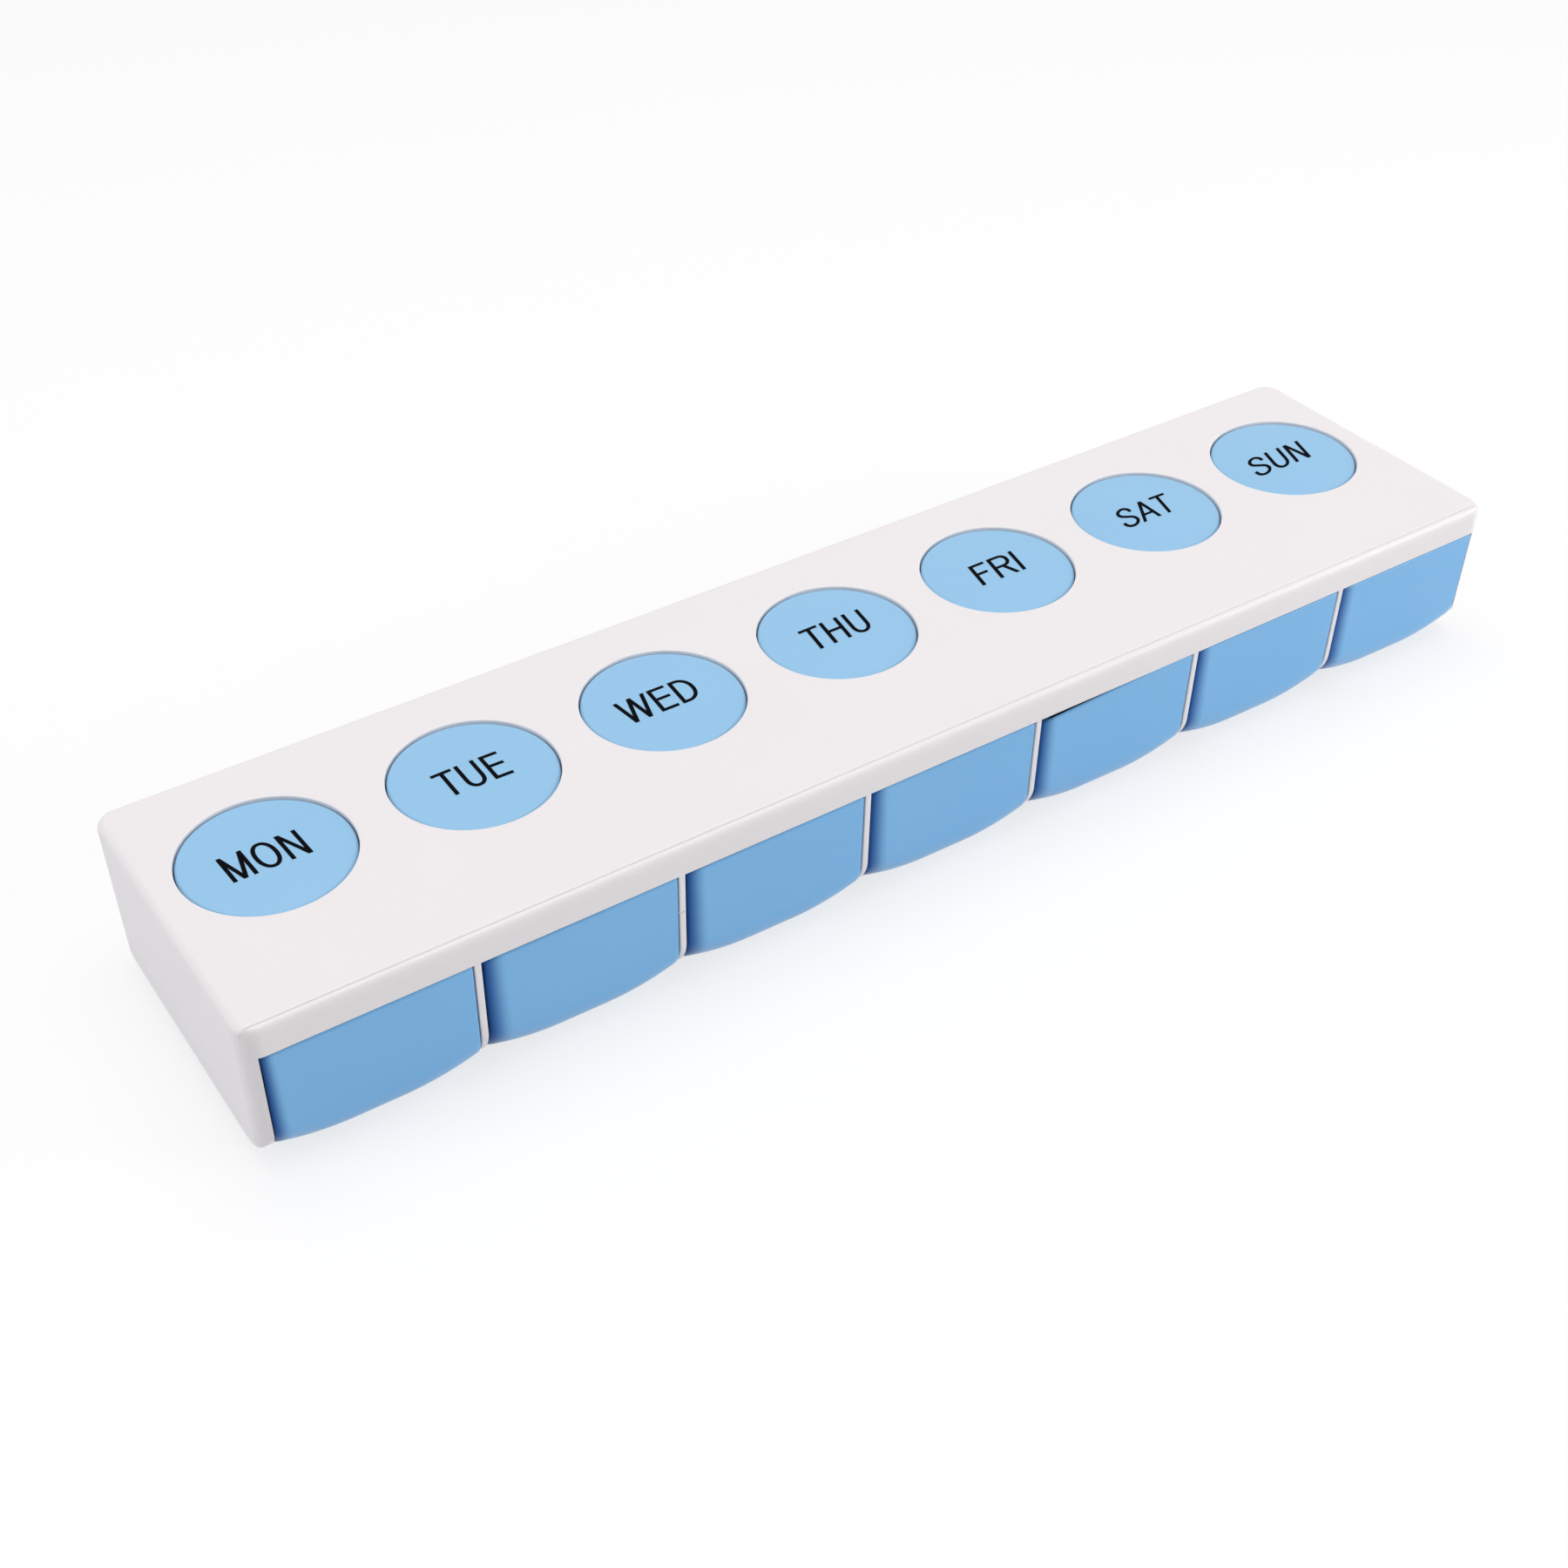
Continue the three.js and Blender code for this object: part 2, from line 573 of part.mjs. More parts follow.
function makeDrawer() {
  const edgeStations = [0, 30, 60].map((degrees) => {
    const angle = THREE.MathUtils.degToRad(degrees);
    return {
      x: DRAWER_HALF - DRAWER_EDGE * (1 - Math.cos(angle)),
      inset: DRAWER_EDGE * (1 - Math.sin(angle)),
    };
  });
  const headStations = [
    ...edgeStations.map(({ x, inset }) => ({ at: -x, ring: drawerRing(x, inset) })),
    ...across(DRAWER_HALF - DRAWER_EDGE).map((x) => ({ at: x, ring: drawerRing(x, 0) })),
    ...edgeStations.toReversed().map(({ x, inset }) => ({ at: x, ring: drawerRing(x, inset) })),
  ];
  const head = loftX(headStations);
  const bodyFront = FRONT + HEAD_DEPTH - PAST;
  const body = loftX(
    across(BODY_HALF).map((x) => ({
      at: x,
      ring: [
        new THREE.Vector2(bodyFront, bellyAt(x)),
        new THREE.Vector2(DRAWER_BACK, bellyAt(x)),
        new THREE.Vector2(DRAWER_BACK, FLANGE_TOP),
        new THREE.Vector2(bodyFront, FLANGE_TOP),
      ],
    })),
  );
  const innerFront = FRONT + DRAWER_FRONT;
  const innerBack = DRAWER_BACK - DRAWER_WALL;
  const innerToe = DRAWER_TOE - DRAWER_FLOOR;
  const hollow = loftX(
    across(BODY_HALF - DRAWER_WALL).map((x) => {
      const floor = bellyAt(x) + DRAWER_FLOOR;
      return {
        at: x,
        ring: [
          new THREE.Vector2(innerFront, HEIGHT),
          ...arc(innerFront + innerToe, floor + innerToe, innerToe, 180, 270, 3),
          new THREE.Vector2(innerBack, floor),
          new THREE.Vector2(innerBack, HEIGHT),
        ],
      };
    }),
  );

  // The flanges run on the rails, and the lugs meet the stops.
  const sideParts = [-1, 1].flatMap((side) => {
    const beside = (reach) => [
      Math.min(side * (BODY_HALF - OVERLAP), side * (BODY_HALF + reach)),
      Math.max(side * (BODY_HALF - OVERLAP), side * (BODY_HALF + reach)),
    ];
    const flangeBottom = FLANGE_TOP - FLANGE_THICKNESS;
    const lugBottom = STOP_TOP - STOP_HEIGHT;
    return [
      box(...beside(DRAWER_HALF - BODY_HALF), bodyFront, DRAWER_BACK, flangeBottom, FLANGE_TOP),
      box(...beside(LUG_REACH), DRAWER_BACK - LUG_LENGTH, DRAWER_BACK, lugBottom, STOP_TOP - GAP),
    ];
  });

  // The catch hangs down behind the button's tooth.
  const catchBack = LEG_FRONT - CATCH_SLACK;
  const catchHalf = LEG_WIDTH / 2 - GAP;
  const catchBottom = TOOTH_TOP + GAP;
  const tabBottom = catchBottom + CATCH;
  const latchPlate = join(
    box(-catchHalf, catchHalf, innerBack + OVERLAP, catchBack, tabBottom, tabBottom + CATCH),
    box(-catchHalf, catchHalf, catchBack - CATCH, catchBack, catchBottom, tabBottom + OVERLAP),
  );
  const springPeg = peg(
    0, EJECTOR_Z, SPRING_PEG_RADIUS, DRAWER_BACK - OVERLAP, DRAWER_BACK + SPRING_PEG / 2,
  );
  return join(cut(join(head, body), hollow), ...sideParts, latchPlate, springPeg);
}

function makeReturnSpring() {
  const low = DECK_TOP + GAP;
  const high = BUTTON_POCKET - GAP;
  const wire = coil(high - low, RETURN_TURNS, RETURN_RADIUS_LOW, RETURN_RADIUS_HIGH);
  return solidOf(wire.translate(0, BUTTON_CENTRE_Y, low));
}

function makeEjectorSpring() {
  const front = DRAWER_BACK + GAP;
  const back = CROSS_WALL_FRONT - GAP;
  const wire = coil(back - front, EJECTOR_TURNS, EJECTOR_RADIUS, EJECTOR_RADIUS);
  return solidOf(wire.rotateX(-Math.PI / 2).translate(0, front, EJECTOR_Z));
}

// Assembly

const pillBox = new THREE.Group();
pillBox.name = "weekly_pill_box";
pillBox.add(named("top_shell", makeTopShell(), white));
pillBox.add(named("divider_frame", makeDividerFrame(), white));
pillBox.add(named("spring_deck", makeSpringDeck(), grey));
pillBox.add(named("bottom_cover", makeBottomCover(), white));

const screw = makeScrew();
screwCentres.forEach((x, i) => {
  const mesh = named(`case_screw_${i + 1}`, screw, steel);
  mesh.position.set(x, SCREW_Y, 0);
  pillBox.add(mesh);
});

const dayParts = [
  ["button", makeButton(), blue],
  ["return_spring", makeReturnSpring(), steel],
  ["drawer", makeDrawer(), blue],
  ["ejector_spring", makeEjectorSpring(), steel],
];
DAYS.forEach((day, i) => {
  const bay = new THREE.Group();
  bay.position.x = bayCentres[i];
  dayParts.forEach(([part, solid, material]) => bay.add(named(`${part}_${day}`, solid, material)));
  pillBox.add(bay);
});

export default pillBox;
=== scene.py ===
"""Looks of the weekly pill box, with its blue push buttons on top and blue drawers in front.

The forms repeat the solid model's dimensions with finer roundings. Lengths in this file are
millimetres until a piece is placed, and metres after that. +X runs from Monday to Sunday, -Y is the
drawer side and +Z is up.
"""

from __future__ import annotations

import json
import logging
import math
from collections.abc import Callable, Iterable, Sequence
from dataclasses import dataclass, field
from enum import Enum

import bmesh
import bpy
from mathutils import Matrix, Vector

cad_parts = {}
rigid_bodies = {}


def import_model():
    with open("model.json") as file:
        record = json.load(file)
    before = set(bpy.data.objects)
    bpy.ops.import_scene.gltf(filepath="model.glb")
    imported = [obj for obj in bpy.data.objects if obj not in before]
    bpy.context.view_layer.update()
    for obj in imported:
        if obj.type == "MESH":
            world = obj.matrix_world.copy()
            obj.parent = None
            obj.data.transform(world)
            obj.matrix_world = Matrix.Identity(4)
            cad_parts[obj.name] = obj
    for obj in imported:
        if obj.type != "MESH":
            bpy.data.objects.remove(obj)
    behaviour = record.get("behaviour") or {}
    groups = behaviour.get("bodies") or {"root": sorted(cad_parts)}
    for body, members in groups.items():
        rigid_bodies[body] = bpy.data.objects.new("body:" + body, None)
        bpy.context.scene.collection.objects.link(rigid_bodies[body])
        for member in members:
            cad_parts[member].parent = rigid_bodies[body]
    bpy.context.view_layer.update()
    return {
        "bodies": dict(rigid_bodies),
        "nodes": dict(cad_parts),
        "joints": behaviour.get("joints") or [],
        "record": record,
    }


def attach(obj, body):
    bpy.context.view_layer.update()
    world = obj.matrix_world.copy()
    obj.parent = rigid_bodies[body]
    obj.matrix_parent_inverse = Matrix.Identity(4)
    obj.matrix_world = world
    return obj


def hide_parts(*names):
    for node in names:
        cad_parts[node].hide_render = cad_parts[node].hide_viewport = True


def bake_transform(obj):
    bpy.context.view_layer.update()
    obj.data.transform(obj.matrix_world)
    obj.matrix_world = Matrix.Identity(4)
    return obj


LOG = logging.getLogger("pill_box")
MM = 0.001

Point = tuple[float, float]
Ring = list[Point]
Place = tuple[float, float, float]
Colour = tuple[float, float, float]


class Day(Enum):
    """The seven days, in the order of their bays."""

    MON = 0
    TUE = 1
    WED = 2
    THU = 3
    FRI = 4
    SAT = 5
    SUN = 6

    @property
    def key(self) -> str:
        """The day's name as the nodes and bodies use it."""
        return self.name.lower()


class Axis(Enum):
    """The direction in which a form is drawn out from its outlines."""

    X = "x"
    Y = "y"
    Z = "z"

    def point(self, u: float, v: float, along: float) -> Place:
        """Places an outline's point in space.

        Args:
            u: First coordinate of the outline.
            v: Second coordinate of the outline.
            along: Distance along the axis.

        Returns:
            The point as X, Y and Z.
        """
        if self is Axis.X:
            return (along, u, v)
        if self is Axis.Y:
            return (u, along, v)
        return (u, v, along)


class Cut(Enum):
    """How two solids are combined."""

    UNION = "UNION"
    DIFFERENCE = "DIFFERENCE"
    INTERSECT = "INTERSECT"


@dataclass(frozen=True)
class Form:
    """The pill box's dimensions in millimetres."""

    pitch: float = 30.5
    divider: float = 1.1
    wall: float = 2.0
    length: float = 216.0
    depth: float = 50.8
    height: float = 25.4
    belly: float = 2.0
    lean_degrees: float = 2.0
    gap: float = 0.3
    hairline: float = 0.05
    plate: float = 2.0
    lip_height: float = 4.7
    seam: float = 1.25
    top_edge: float = 1.2
    corner: float = 3.0
    toe_edge: float = 0.8
    front_toe: float = 6.0
    back_heel: float = 4.5
    ledge: float = 3.0
    button_y: float = 4.5
    hole_radius: float = 12.15
    button_radius: float = 11.95
    button_rim: float = 25.06
    button_crown: float = 0.3
    button_bottom: float = 22.3
    button_flange_top: float = 23.1
    deck_top: float = 20.0
    deck_bottom: float = 18.8
    drawer_half: float = 14.35
    drawer_depth: float = 36.4
    drawer_top: float = 20.4
    drawer_toe: float = 5.5
    drawer_land: float = 3.5
    drawer_front: float = 1.8
    drawer_wall: float = 1.2
    drawer_floor: float = 1.5
    head_depth: float = 6.6
    body_half: float = 13.05
    flange_top: float = 18.4
    rail: float = 1.2
    rail_top: float = 17.1
    cross_wall: float = 1.2
    cross_wall_front: float = 18.6
    cover_top: float = 3.2
    leg_front: float = 14.8
    leg_back: float = 15.8
    screw_base: float = 4.2
    screw_columns: Sequence[float] = (-2.5, -0.5, 0.5, 2.5)
    travel: float = 25.5
    lug_length: float = 1.5
    lug_height: float = 3.6
    spring_z: float = 5.6
    spring_peg: float = 1.3

    @property
    def lean(self) -> float:
        """How far the front and the back lean inwards for each millimetre down."""
        return math.tan(math.radians(self.lean_degrees))

    @property
    def front(self) -> float:
        """Y of the front face at the top."""
        return -self.depth / 2

    @property
    def back(self) -> float:
        """Y of the back face at the top."""
        return self.depth / 2

    @property
    def end(self) -> float:
        """X of the right end."""
        return self.length / 2

    @property
    def inside(self) -> float:
        """X of the right end wall's inner face."""
        return self.end - self.wall

    @property
    def seam_y(self) -> float:
        """Y of the line between the lip and the top."""
        return self.front + self.seam

    @property
    def plate_under(self) -> float:
        """Z of the top plate's underside."""
        return self.height - self.plate

    @property
    def lip_bottom(self) -> float:
        """Z of the lip's lower edge."""
        return self.height - self.lip_height

    @property
    def drawer_back(self) -> float:
        """Y of a drawer's back."""
        return self.front + self.drawer_depth

    @property
    def bay_centres(self) -> list[float]:
        """X of the middle of each bay."""
        return [(day.value - Day.THU.value) * self.pitch for day in Day]

    @property
    def divider_centres(self) -> list[float]:
        """X of the middle of each divider."""
        return [x + self.pitch / 2 for x in self.bay_centres[:-1]]

    @property
    def screws(self) -> list[Point]:
        """X and Y of each screw."""
        y = self.cross_wall_front + self.cross_wall / 2
        return [(column * self.pitch, y) for column in self.screw_columns]

    def front_at(self, z: float) -> float:
        """Y of the leaning front face at height z."""
        return self.front + self.lean * (self.height - z)

    def back_at(self, z: float) -> float:
        """Y of the leaning back face at height z."""
        return self.back - self.lean * (self.height - z)

    def belly_at(self, x: float) -> float:
        """Z of a drawer's underside at a distance x from its middle.

        Args:
            x: Distance from the drawer's middle, to either side.

        Returns:
            The height, which grows in a curve beyond the flat middle.
        """
        beyond = max(0.0, abs(x) - self.drawer_land)
        bay = (self.pitch - self.divider) / 2
        return self.belly * (beyond / (bay - self.drawer_land)) ** 2


FORM = Form()
OVERLAP = 0.3
PAST = 1.0
SHIFT = 0.2


# Solids


def arc(cx: float, cy: float, radius: float, start: float, end: float, steps: int) -> Ring:
    """Points along a circular arc, with its angles in degrees."""
    angles = (math.radians(start + (end - start) * i / steps) for i in range(steps + 1))
    return [(cx + radius * math.cos(a), cy + radius * math.sin(a)) for a in angles]


def circle(cx: float, cy: float, radius: float, sides: int) -> Ring:
    """Points round a whole circle, each of them once."""
    return arc(cx, cy, radius, 0, 360 - 360 / sides, sides - 1)


class Solid:
    """A closed mesh in millimetres that can be joined with others and cut by them."""

    def __init__(self, mesh: bpy.types.Mesh) -> None:
        """Keeps the mesh."""
        self.mesh = mesh

    @classmethod
    def of(cls, vertices: Sequence[tuple], faces: Sequence[tuple]) -> Solid:
        """Makes a solid from points and faces, and turns its faces outwards.

        Args:
            vertices: The points.
            faces: The numbers of each face's points, all the same way round.

        Returns:
            The solid.
        """
        mesh = bpy.data.meshes.new("solid")
        mesh.from_pydata(vertices, [], faces)
        made = bmesh.new()
        made.from_mesh(mesh)
        if made.calc_volume(signed=True) < 0:
            bmesh.ops.reverse_faces(made, faces=made.faces)
        made.to_mesh(mesh)
        made.free()
        return cls(mesh)

    @classmethod
    def lofted(cls, stations: Sequence[tuple[float, Ring]], axis: Axis = Axis.Z) -> Solid:
        """A skin through outlines with the same number of points.

        Args:
            stations: Each outline with its distance along the axis, in order.
            axis: The direction from one outline to the next.

        Returns:
            The solid between the first outline and the last.
        """
        count = len(stations[0][1])
        vertices = [axis.point(u, v, at) for at, ring in stations for u, v in ring]
        faces: list[tuple] = []
        for s in range(len(stations) - 1):
            for i in range(count):
                a, b = s * count + i, s * count + (i + 1) % count
                faces.append((a, b, b + count, a + count))
        last = (len(stations) - 1) * count
        faces.append(tuple(reversed(range(count))))
        faces.append(tuple(range(last, last + count)))
        return cls.of(vertices, faces)

    @classmethod
    def prism(cls, ring: Ring, start: float, end: float, axis: Axis = Axis.X) -> Solid:
        """An outline drawn out along an axis."""
        return cls.lofted([(start, ring), (end, ring)], axis)

    @classmethod
    def box(cls, x0: float, x1: float, y0: float, y1: float, z0: float, z1: float) -> Solid:
        """A box between two corners."""
        return cls.prism([(x0, y0), (x1, y0), (x1, y1), (x0, y1)], z0, z1, Axis.Z)

    @classmethod
    def turned(cls, outline: Ring, x: float, y: float, sides: int = 96) -> Solid:
        """An outline of radius and height turned round an upright axis.

        Args:
            outline: Radius and height of each point, from the axis and back to it.
            x: Place of the axis.
            y: Place of the axis.
            sides: Number of steps round the axis.

        Returns:
            The solid of revolution.
        """
        tip_first, *rings, tip_last = outline
        vertices = [(x, y, tip_first[1]), (x, y, tip_last[1])]
        for radius, height in rings:
            for i in range(sides):
                angle = 2 * math.pi * i / sides
                out, across = radius * math.cos(angle), radius * math.sin(angle)
                vertices.append((x + out, y + across, height))
        faces: list[tuple] = []
        top = 2 + (len(rings) - 1) * sides
        for i in range(sides):
            j = (i + 1) % sides
            faces.append((0, 2 + j, 2 + i))
            faces.append((1, top + i, top + j))
            for s in range(len(rings) - 1):
                a, b = 2 + s * sides + i, 2 + s * sides + j
                faces.append((a, b, b + sides, a + sides))
        return cls.of(vertices, faces)

    @classmethod
    def post(
        cls, x: float, y: float, radius: float, z0: float, z1: float, sides: int = 48
    ) -> Solid:
        """An upright cylinder."""
        return cls.prism(circle(x, y, radius, sides), z0, z1, Axis.Z)

    @classmethod
    def peg(
        cls, x: float, z: float, radius: float, y0: float, y1: float, sides: int = 24
    ) -> Solid:
        """A cylinder along Y."""
        return cls.prism(circle(x, z, radius, sides), y0, y1, Axis.Y)

    def moved(self, x: float = 0.0, y: float = 0.0, z: float = 0.0) -> Solid:
        """A copy of the solid in another place."""
        return self.placed(Matrix.Translation((x, y, z)))

    def placed(self, matrix: Matrix) -> Solid:
        """A copy of the solid moved and turned by a matrix.

        Args:
            matrix: The movement, in millimetres.

        Returns:
            The copy.
        """
        mesh = self.mesh.copy()
        mesh.transform(matrix)
        return Solid(mesh)

    def combined(self, how: Cut, other: Solid) -> Solid:
        """Combines two solids.

        Args:
            how: Whether they are joined, cut or intersected.
            other: The second solid.

        Returns:
            The result as a new solid.
        """
        first = bpy.data.objects.new("first", self.mesh)
        second = bpy.data.objects.new("second", other.mesh)
        for obj in (first, second):
            bpy.context.scene.collection.objects.link(obj)
        modifier = first.modifiers.new("combine", "BOOLEAN")
        modifier.solver = "MANIFOLD"
        modifier.operation = how.value
        modifier.object = second
        bpy.context.view_layer.update()
        evaluated = first.evaluated_get(bpy.context.evaluated_depsgraph_get())
        mesh = bpy.data.meshes.new_from_object(evaluated)
        for obj in (first, second):
            bpy.data.objects.remove(obj)
        if not mesh.polygons:
            raise ValueError(f"{how.value} left nothing")
        return Solid(mesh)

    def joined(self, *others: Solid) -> Solid:
        """The union of this solid and the others.

        Args:
            *others: The solids that are added, one after the other.

        Returns:
            The union.
        """
        result = self
        for other in others:
            result = result.combined(Cut.UNION, other)
        return result

    def cut(self, *others: Solid) -> Solid:
        """What is left of this solid after the others are taken out of it.

        Args:
            *others: The solids that are taken out, one after the other.

        Returns:
            The rest.
        """
        result = self
        for other in others:
            result = result.combined(Cut.DIFFERENCE, other)
        return result

    def within(self, other: Solid) -> Solid:
        """The part of this solid that lies inside the other."""
        return self.combined(Cut.INTERSECT, other)

    @staticmethod
    def apart(solids: Iterable[Solid]) -> Solid:
        """Several solids that don't touch, as one mesh.

        Args:
            solids: The solids.

        Returns:
            A solid of several closed shells.
        """
        made = bmesh.new()
        for solid in solids:
            made.from_mesh(solid.mesh)
        mesh = bpy.data.meshes.new("solids")
        made.to_mesh(mesh)
        made.free()
        return Solid(mesh)


@dataclass
class Piece:
    """A visible piece and what it stands for."""

    name: str
    solid: Solid
    material: bpy.types.Material
    slot: str
    body: str = "case"
    stands_for: Sequence[str] = ()
    sharp_from: float = 32.0
    weighted: bool = True

    def mesh(self) -> bpy.types.Mesh:
        """The piece's mesh in metres with smooth shading.

        Returns:
            The mesh, with its sharp edges marked and its material on.
        """
        mesh = self.solid.mesh.copy()
        mesh.name = self.name
        mesh.transform(Matrix.Scale(MM, 4))
        mesh.shade_smooth()
        mesh.set_sharp_from_angle(angle=math.radians(self.sharp_from))
        mesh.materials.clear()
        mesh.materials.append(self.material)
        return mesh

    def build(self) -> bpy.types.Object:
        """Adds the piece to the scene without a parent.

        Returns:
            The object, which still has to be tied to a body.
        """
        obj = bpy.data.objects.new(self.name, self.mesh())
        bpy.context.scene.collection.objects.link(obj)
        if self.weighted:
            modifier = obj.modifiers.new("weighted normals", "WEIGHTED_NORMAL")
            modifier.keep_sharp = True
            modifier.weight = 100
        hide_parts(*self.stands_for)
        LOG.info("%s built", self.name)
        return obj

    def ride(self) -> bpy.types.Object:
        """Adds the piece to the scene, moving with its body."""
        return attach(self.build(), self.body)


# Case


@dataclass(frozen=True)
class CaseForms:
    """The white case: top shell, frame with the dividers, and the parts inside them."""

    form: Form = FORM
    skin: float = 0.01
    corner_steps: int = 16
    rim_steps: int = 8
    toe_steps: int = 14
    heel_steps: int = 12
    seam_steps: int = 16
    edge_steps: int = 5
    seam_round: float = 0.3
    hole_round: float = 0.2
    hole_sides: int = 128
    divider_rounds: tuple[float, float] = (0.15, 0.4)
    divider_angles: Sequence[float] = (0, 22.5, 45, 67.5, 90)
    lip_rim: tuple[float, float] = (0.75, 2.0)
    boss_radius: float = 2.85
    boss_bore: float = 1.3
    hold_down_front: float = -9.65
    hold_down_length: float = 3.0
    deck_notch: float = -10.25
    cover_notch: float = 0.5
    peg_length: float = 2.2
    block_radius: float = 3.3
    block_bore: float = 1.55
    seat_radius: float = 2.7
    nick: Point = (-45.75, 13.9)
    nick_depth: float = 0.22
    nick_height: float = 0.3

    def plan(self, z: float, inset: float) -> Ring:
        """The case's outline from above at height z, drawn in by inset.

        Args:
            z: Height of the outline.
            inset: How far it is drawn in.

        Returns:
            X and Y of its points.
        """
        f, n = self.form, self.corner_steps
        r = f.corner - inset
        x = f.end - inset - r
        low, high = f.front_at(z) - self.skin + inset + r, f.back_at(z) + self.skin - inset - r
        return [
            *arc(x, low, r, -90, 0, n),
            *arc(x, high, r, 0, 90, n),
            *arc(-x, high, r, 90, 180, n),
            *arc(-x, low, r, 180, 270, n),
        ]

    def wall_outline(self, top: float, inset: float = 0.0) -> Ring:
        """The walls' outline seen along X, drawn in by inset.

        Args:
            top: Height at which it ends.
            inset: How far it is drawn in.

        Returns:
            Y and Z of its points.
        """
        f = self.form
        toe, heel = f.front_toe, f.back_heel
        toe_z, heel_z = f.belly + toe, f.belly + heel
        toe_y, heel_y = f.front_at(toe_z) + toe, f.back_at(heel_z) - heel
        start, end = 180 + f.lean_degrees, 360 - f.lean_degrees
        return [
            (f.front_at(top) + inset, top),
            *arc(toe_y, toe_z, toe - inset, start, 270, self.toe_steps),
            *arc(heel_y, heel_z, heel - inset, 270, end, self.heel_steps),
            (f.back_at(top) - inset, top),
        ]

    def block(self, rim: tuple[float, float]) -> Solid:
        """The whole outer form with rounded edges.

        Args:
            rim: How far the upper edges are rounded inwards and downwards.

        Returns:
            The form without its hollow.
        """
        f = self.form
        inwards, downwards = rim
        stations = [(f.belly, self.plan(f.belly, 0.0))]
        for step in range(self.rim_steps + 1):
            angle = math.radians(90 * step / self.rim_steps)
            at = f.height - downwards * (1 - math.sin(angle))
            stations.append((at, self.plan(at, inwards * (1 - math.cos(angle)))))
        ends = []
        for step in range(self.corner_steps + 1):
            angle = math.radians(90 * step / self.corner_steps)
            inset = f.toe_edge * (1 - math.sin(angle))
            ring = self.wall_outline(f.height + PAST, inset)
            ends.append((f.end - f.toe_edge * (1 - math.cos(angle)), ring))
        left = [(-x, ring) for x, ring in ends]
        sides = Solid.lofted([*left, *reversed(ends)], Axis.X)
        return Solid.lofted(stations).within(sides)

    def behind_frame(self, clearance: float) -> Solid:
        """Everything behind the front frame, which has the same thickness down to its lower end.

        Args:
            clearance: Distance that is left free behind the frame.

        Returns:
            The solid behind it.
        """
        f = self.form
        toe_z = f.belly + f.front_toe
        toe_y = f.front_at(toe_z) + f.front_toe
        behind = f.seam + clearance
        ring = [
            (f.front_at(f.height + PAST) + behind, f.height + PAST),
            *arc(toe_y, toe_z, f.front_toe - behind, 180 + f.lean_degrees, 270, self.seam_steps),
            (toe_y + clearance, f.belly + behind),
            (toe_y + clearance, f.belly - PAST),
            (f.back + PAST, f.belly - PAST),
            (f.back + PAST, f.height + PAST),
        ]
        return Solid.prism(ring, -f.end - PAST, f.end + PAST)

    def seam_cutter(self, y: float, side: int) -> Solid:
        """Takes the corner beside the seam off in a small radius.

        Args:
            y: Place of the seam's wall.
            side: 1 if the solid lies behind the seam and -1 if it lies in front.

        Returns:
            The solid to cut away.
        """
        f, r = self.form, self.seam_round
        centre = (y + side * r, f.height - r)
        corner = arc(*centre, r, 180 if side > 0 else 0, 90, self.edge_steps)
        ring = [*corner, (y + side * r, f.height + PAST), (y - side * PAST, f.height + PAST)]
        ring.append((y - side * PAST, f.height - r))
        return Solid.prism(ring, -f.end - PAST, f.end + PAST)

    def hole_cutter(self, x: float) -> Solid:
        """A button's hole with a rounded upper edge.

        Args:
            x: X of the button's centre.

        Returns:
            The solid to cut away.
        """
        f, r = self.form, self.hole_round
        edge = arc(f.hole_radius + r, f.height - r, r, 180, 90, self.edge_steps)
        low, high, wide = f.plate_under - PAST, f.height + PAST, f.hole_radius + r + PAST
        outline = [(0, low), (f.hole_radius, low), *edge, (wide, high), (0, high)]
        return Solid.turned(outline, x, f.button_y, self.hole_sides)

    def rail(self, x: float, direction: int) -> tuple[Solid, Solid]:
        """The rail and the drawer stop on the wall at x.

        Args:
            x: X of the wall's face.
            direction: 1 if the bay is on the right of the wall, or -1.

        Returns:
            The rail and the stop below it.
        """
        f = self.form
        x0, x1 = sorted((x - direction * OVERLAP, x + direction * f.rail))
        top = f.rail_top - f.rail
        front, back = f.front + f.head_depth + f.gap, f.drawer_back - PAST
        stop = f.drawer_back - f.lug_length - f.travel - f.gap
        return (
            Solid.box(x0, x1, front, back, top, f.rail_top),
            Solid.box(x0, x1, stop - f.rail, stop, top - f.lug_height, top + OVERLAP),
        )

    def top_shell(self) -> Solid:
        """The top plate with its end walls and back wall.

        Returns:
            The shell with its holes, bosses, hold-downs and outer rails.
        """
        f = self.form
        hollow = Solid.prism(
            [
                (f.front - PAST, f.belly - PAST),
                (f.back_at(f.belly - PAST) - f.wall, f.belly - PAST),
                (f.back_at(f.plate_under) - f.wall, f.plate_under),
                (f.front - PAST, f.plate_under),
            ],
            -f.inside,
            f.inside,
        )
        block = self.block((f.top_edge, f.top_edge))
        shell = block.within(self.behind_frame(self.skin)).cut(
            hollow,
            self.seam_cutter(f.seam_y + f.hairline, 1),
            Solid.apart(self.hole_cutter(x) for x in f.bay_centres),
        )
        bosses = [
            Solid.post(
                x, y, self.boss_radius, f.deck_top + f.hairline, f.plate_under + OVERLAP
            ).cut(Solid.post(x, y, self.boss_bore, f.deck_top - PAST, f.plate_under - OVERLAP))
            for x, y in f.screws
        ]
        front, back = self.hold_down_front, self.hold_down_front + self.hold_down_length
        low, high, half = f.deck_top + f.hairline, f.plate_under + OVERLAP, f.divider / 2
        hold_downs = [
            Solid.box(x - half, x + half, front, back, low, high) for x in f.divider_centres
        ]
        inside = [*bosses, *hold_downs, *self.rail(-f.inside, 1), *self.rail(f.inside, -1)]
        return shell.joined(*inside)

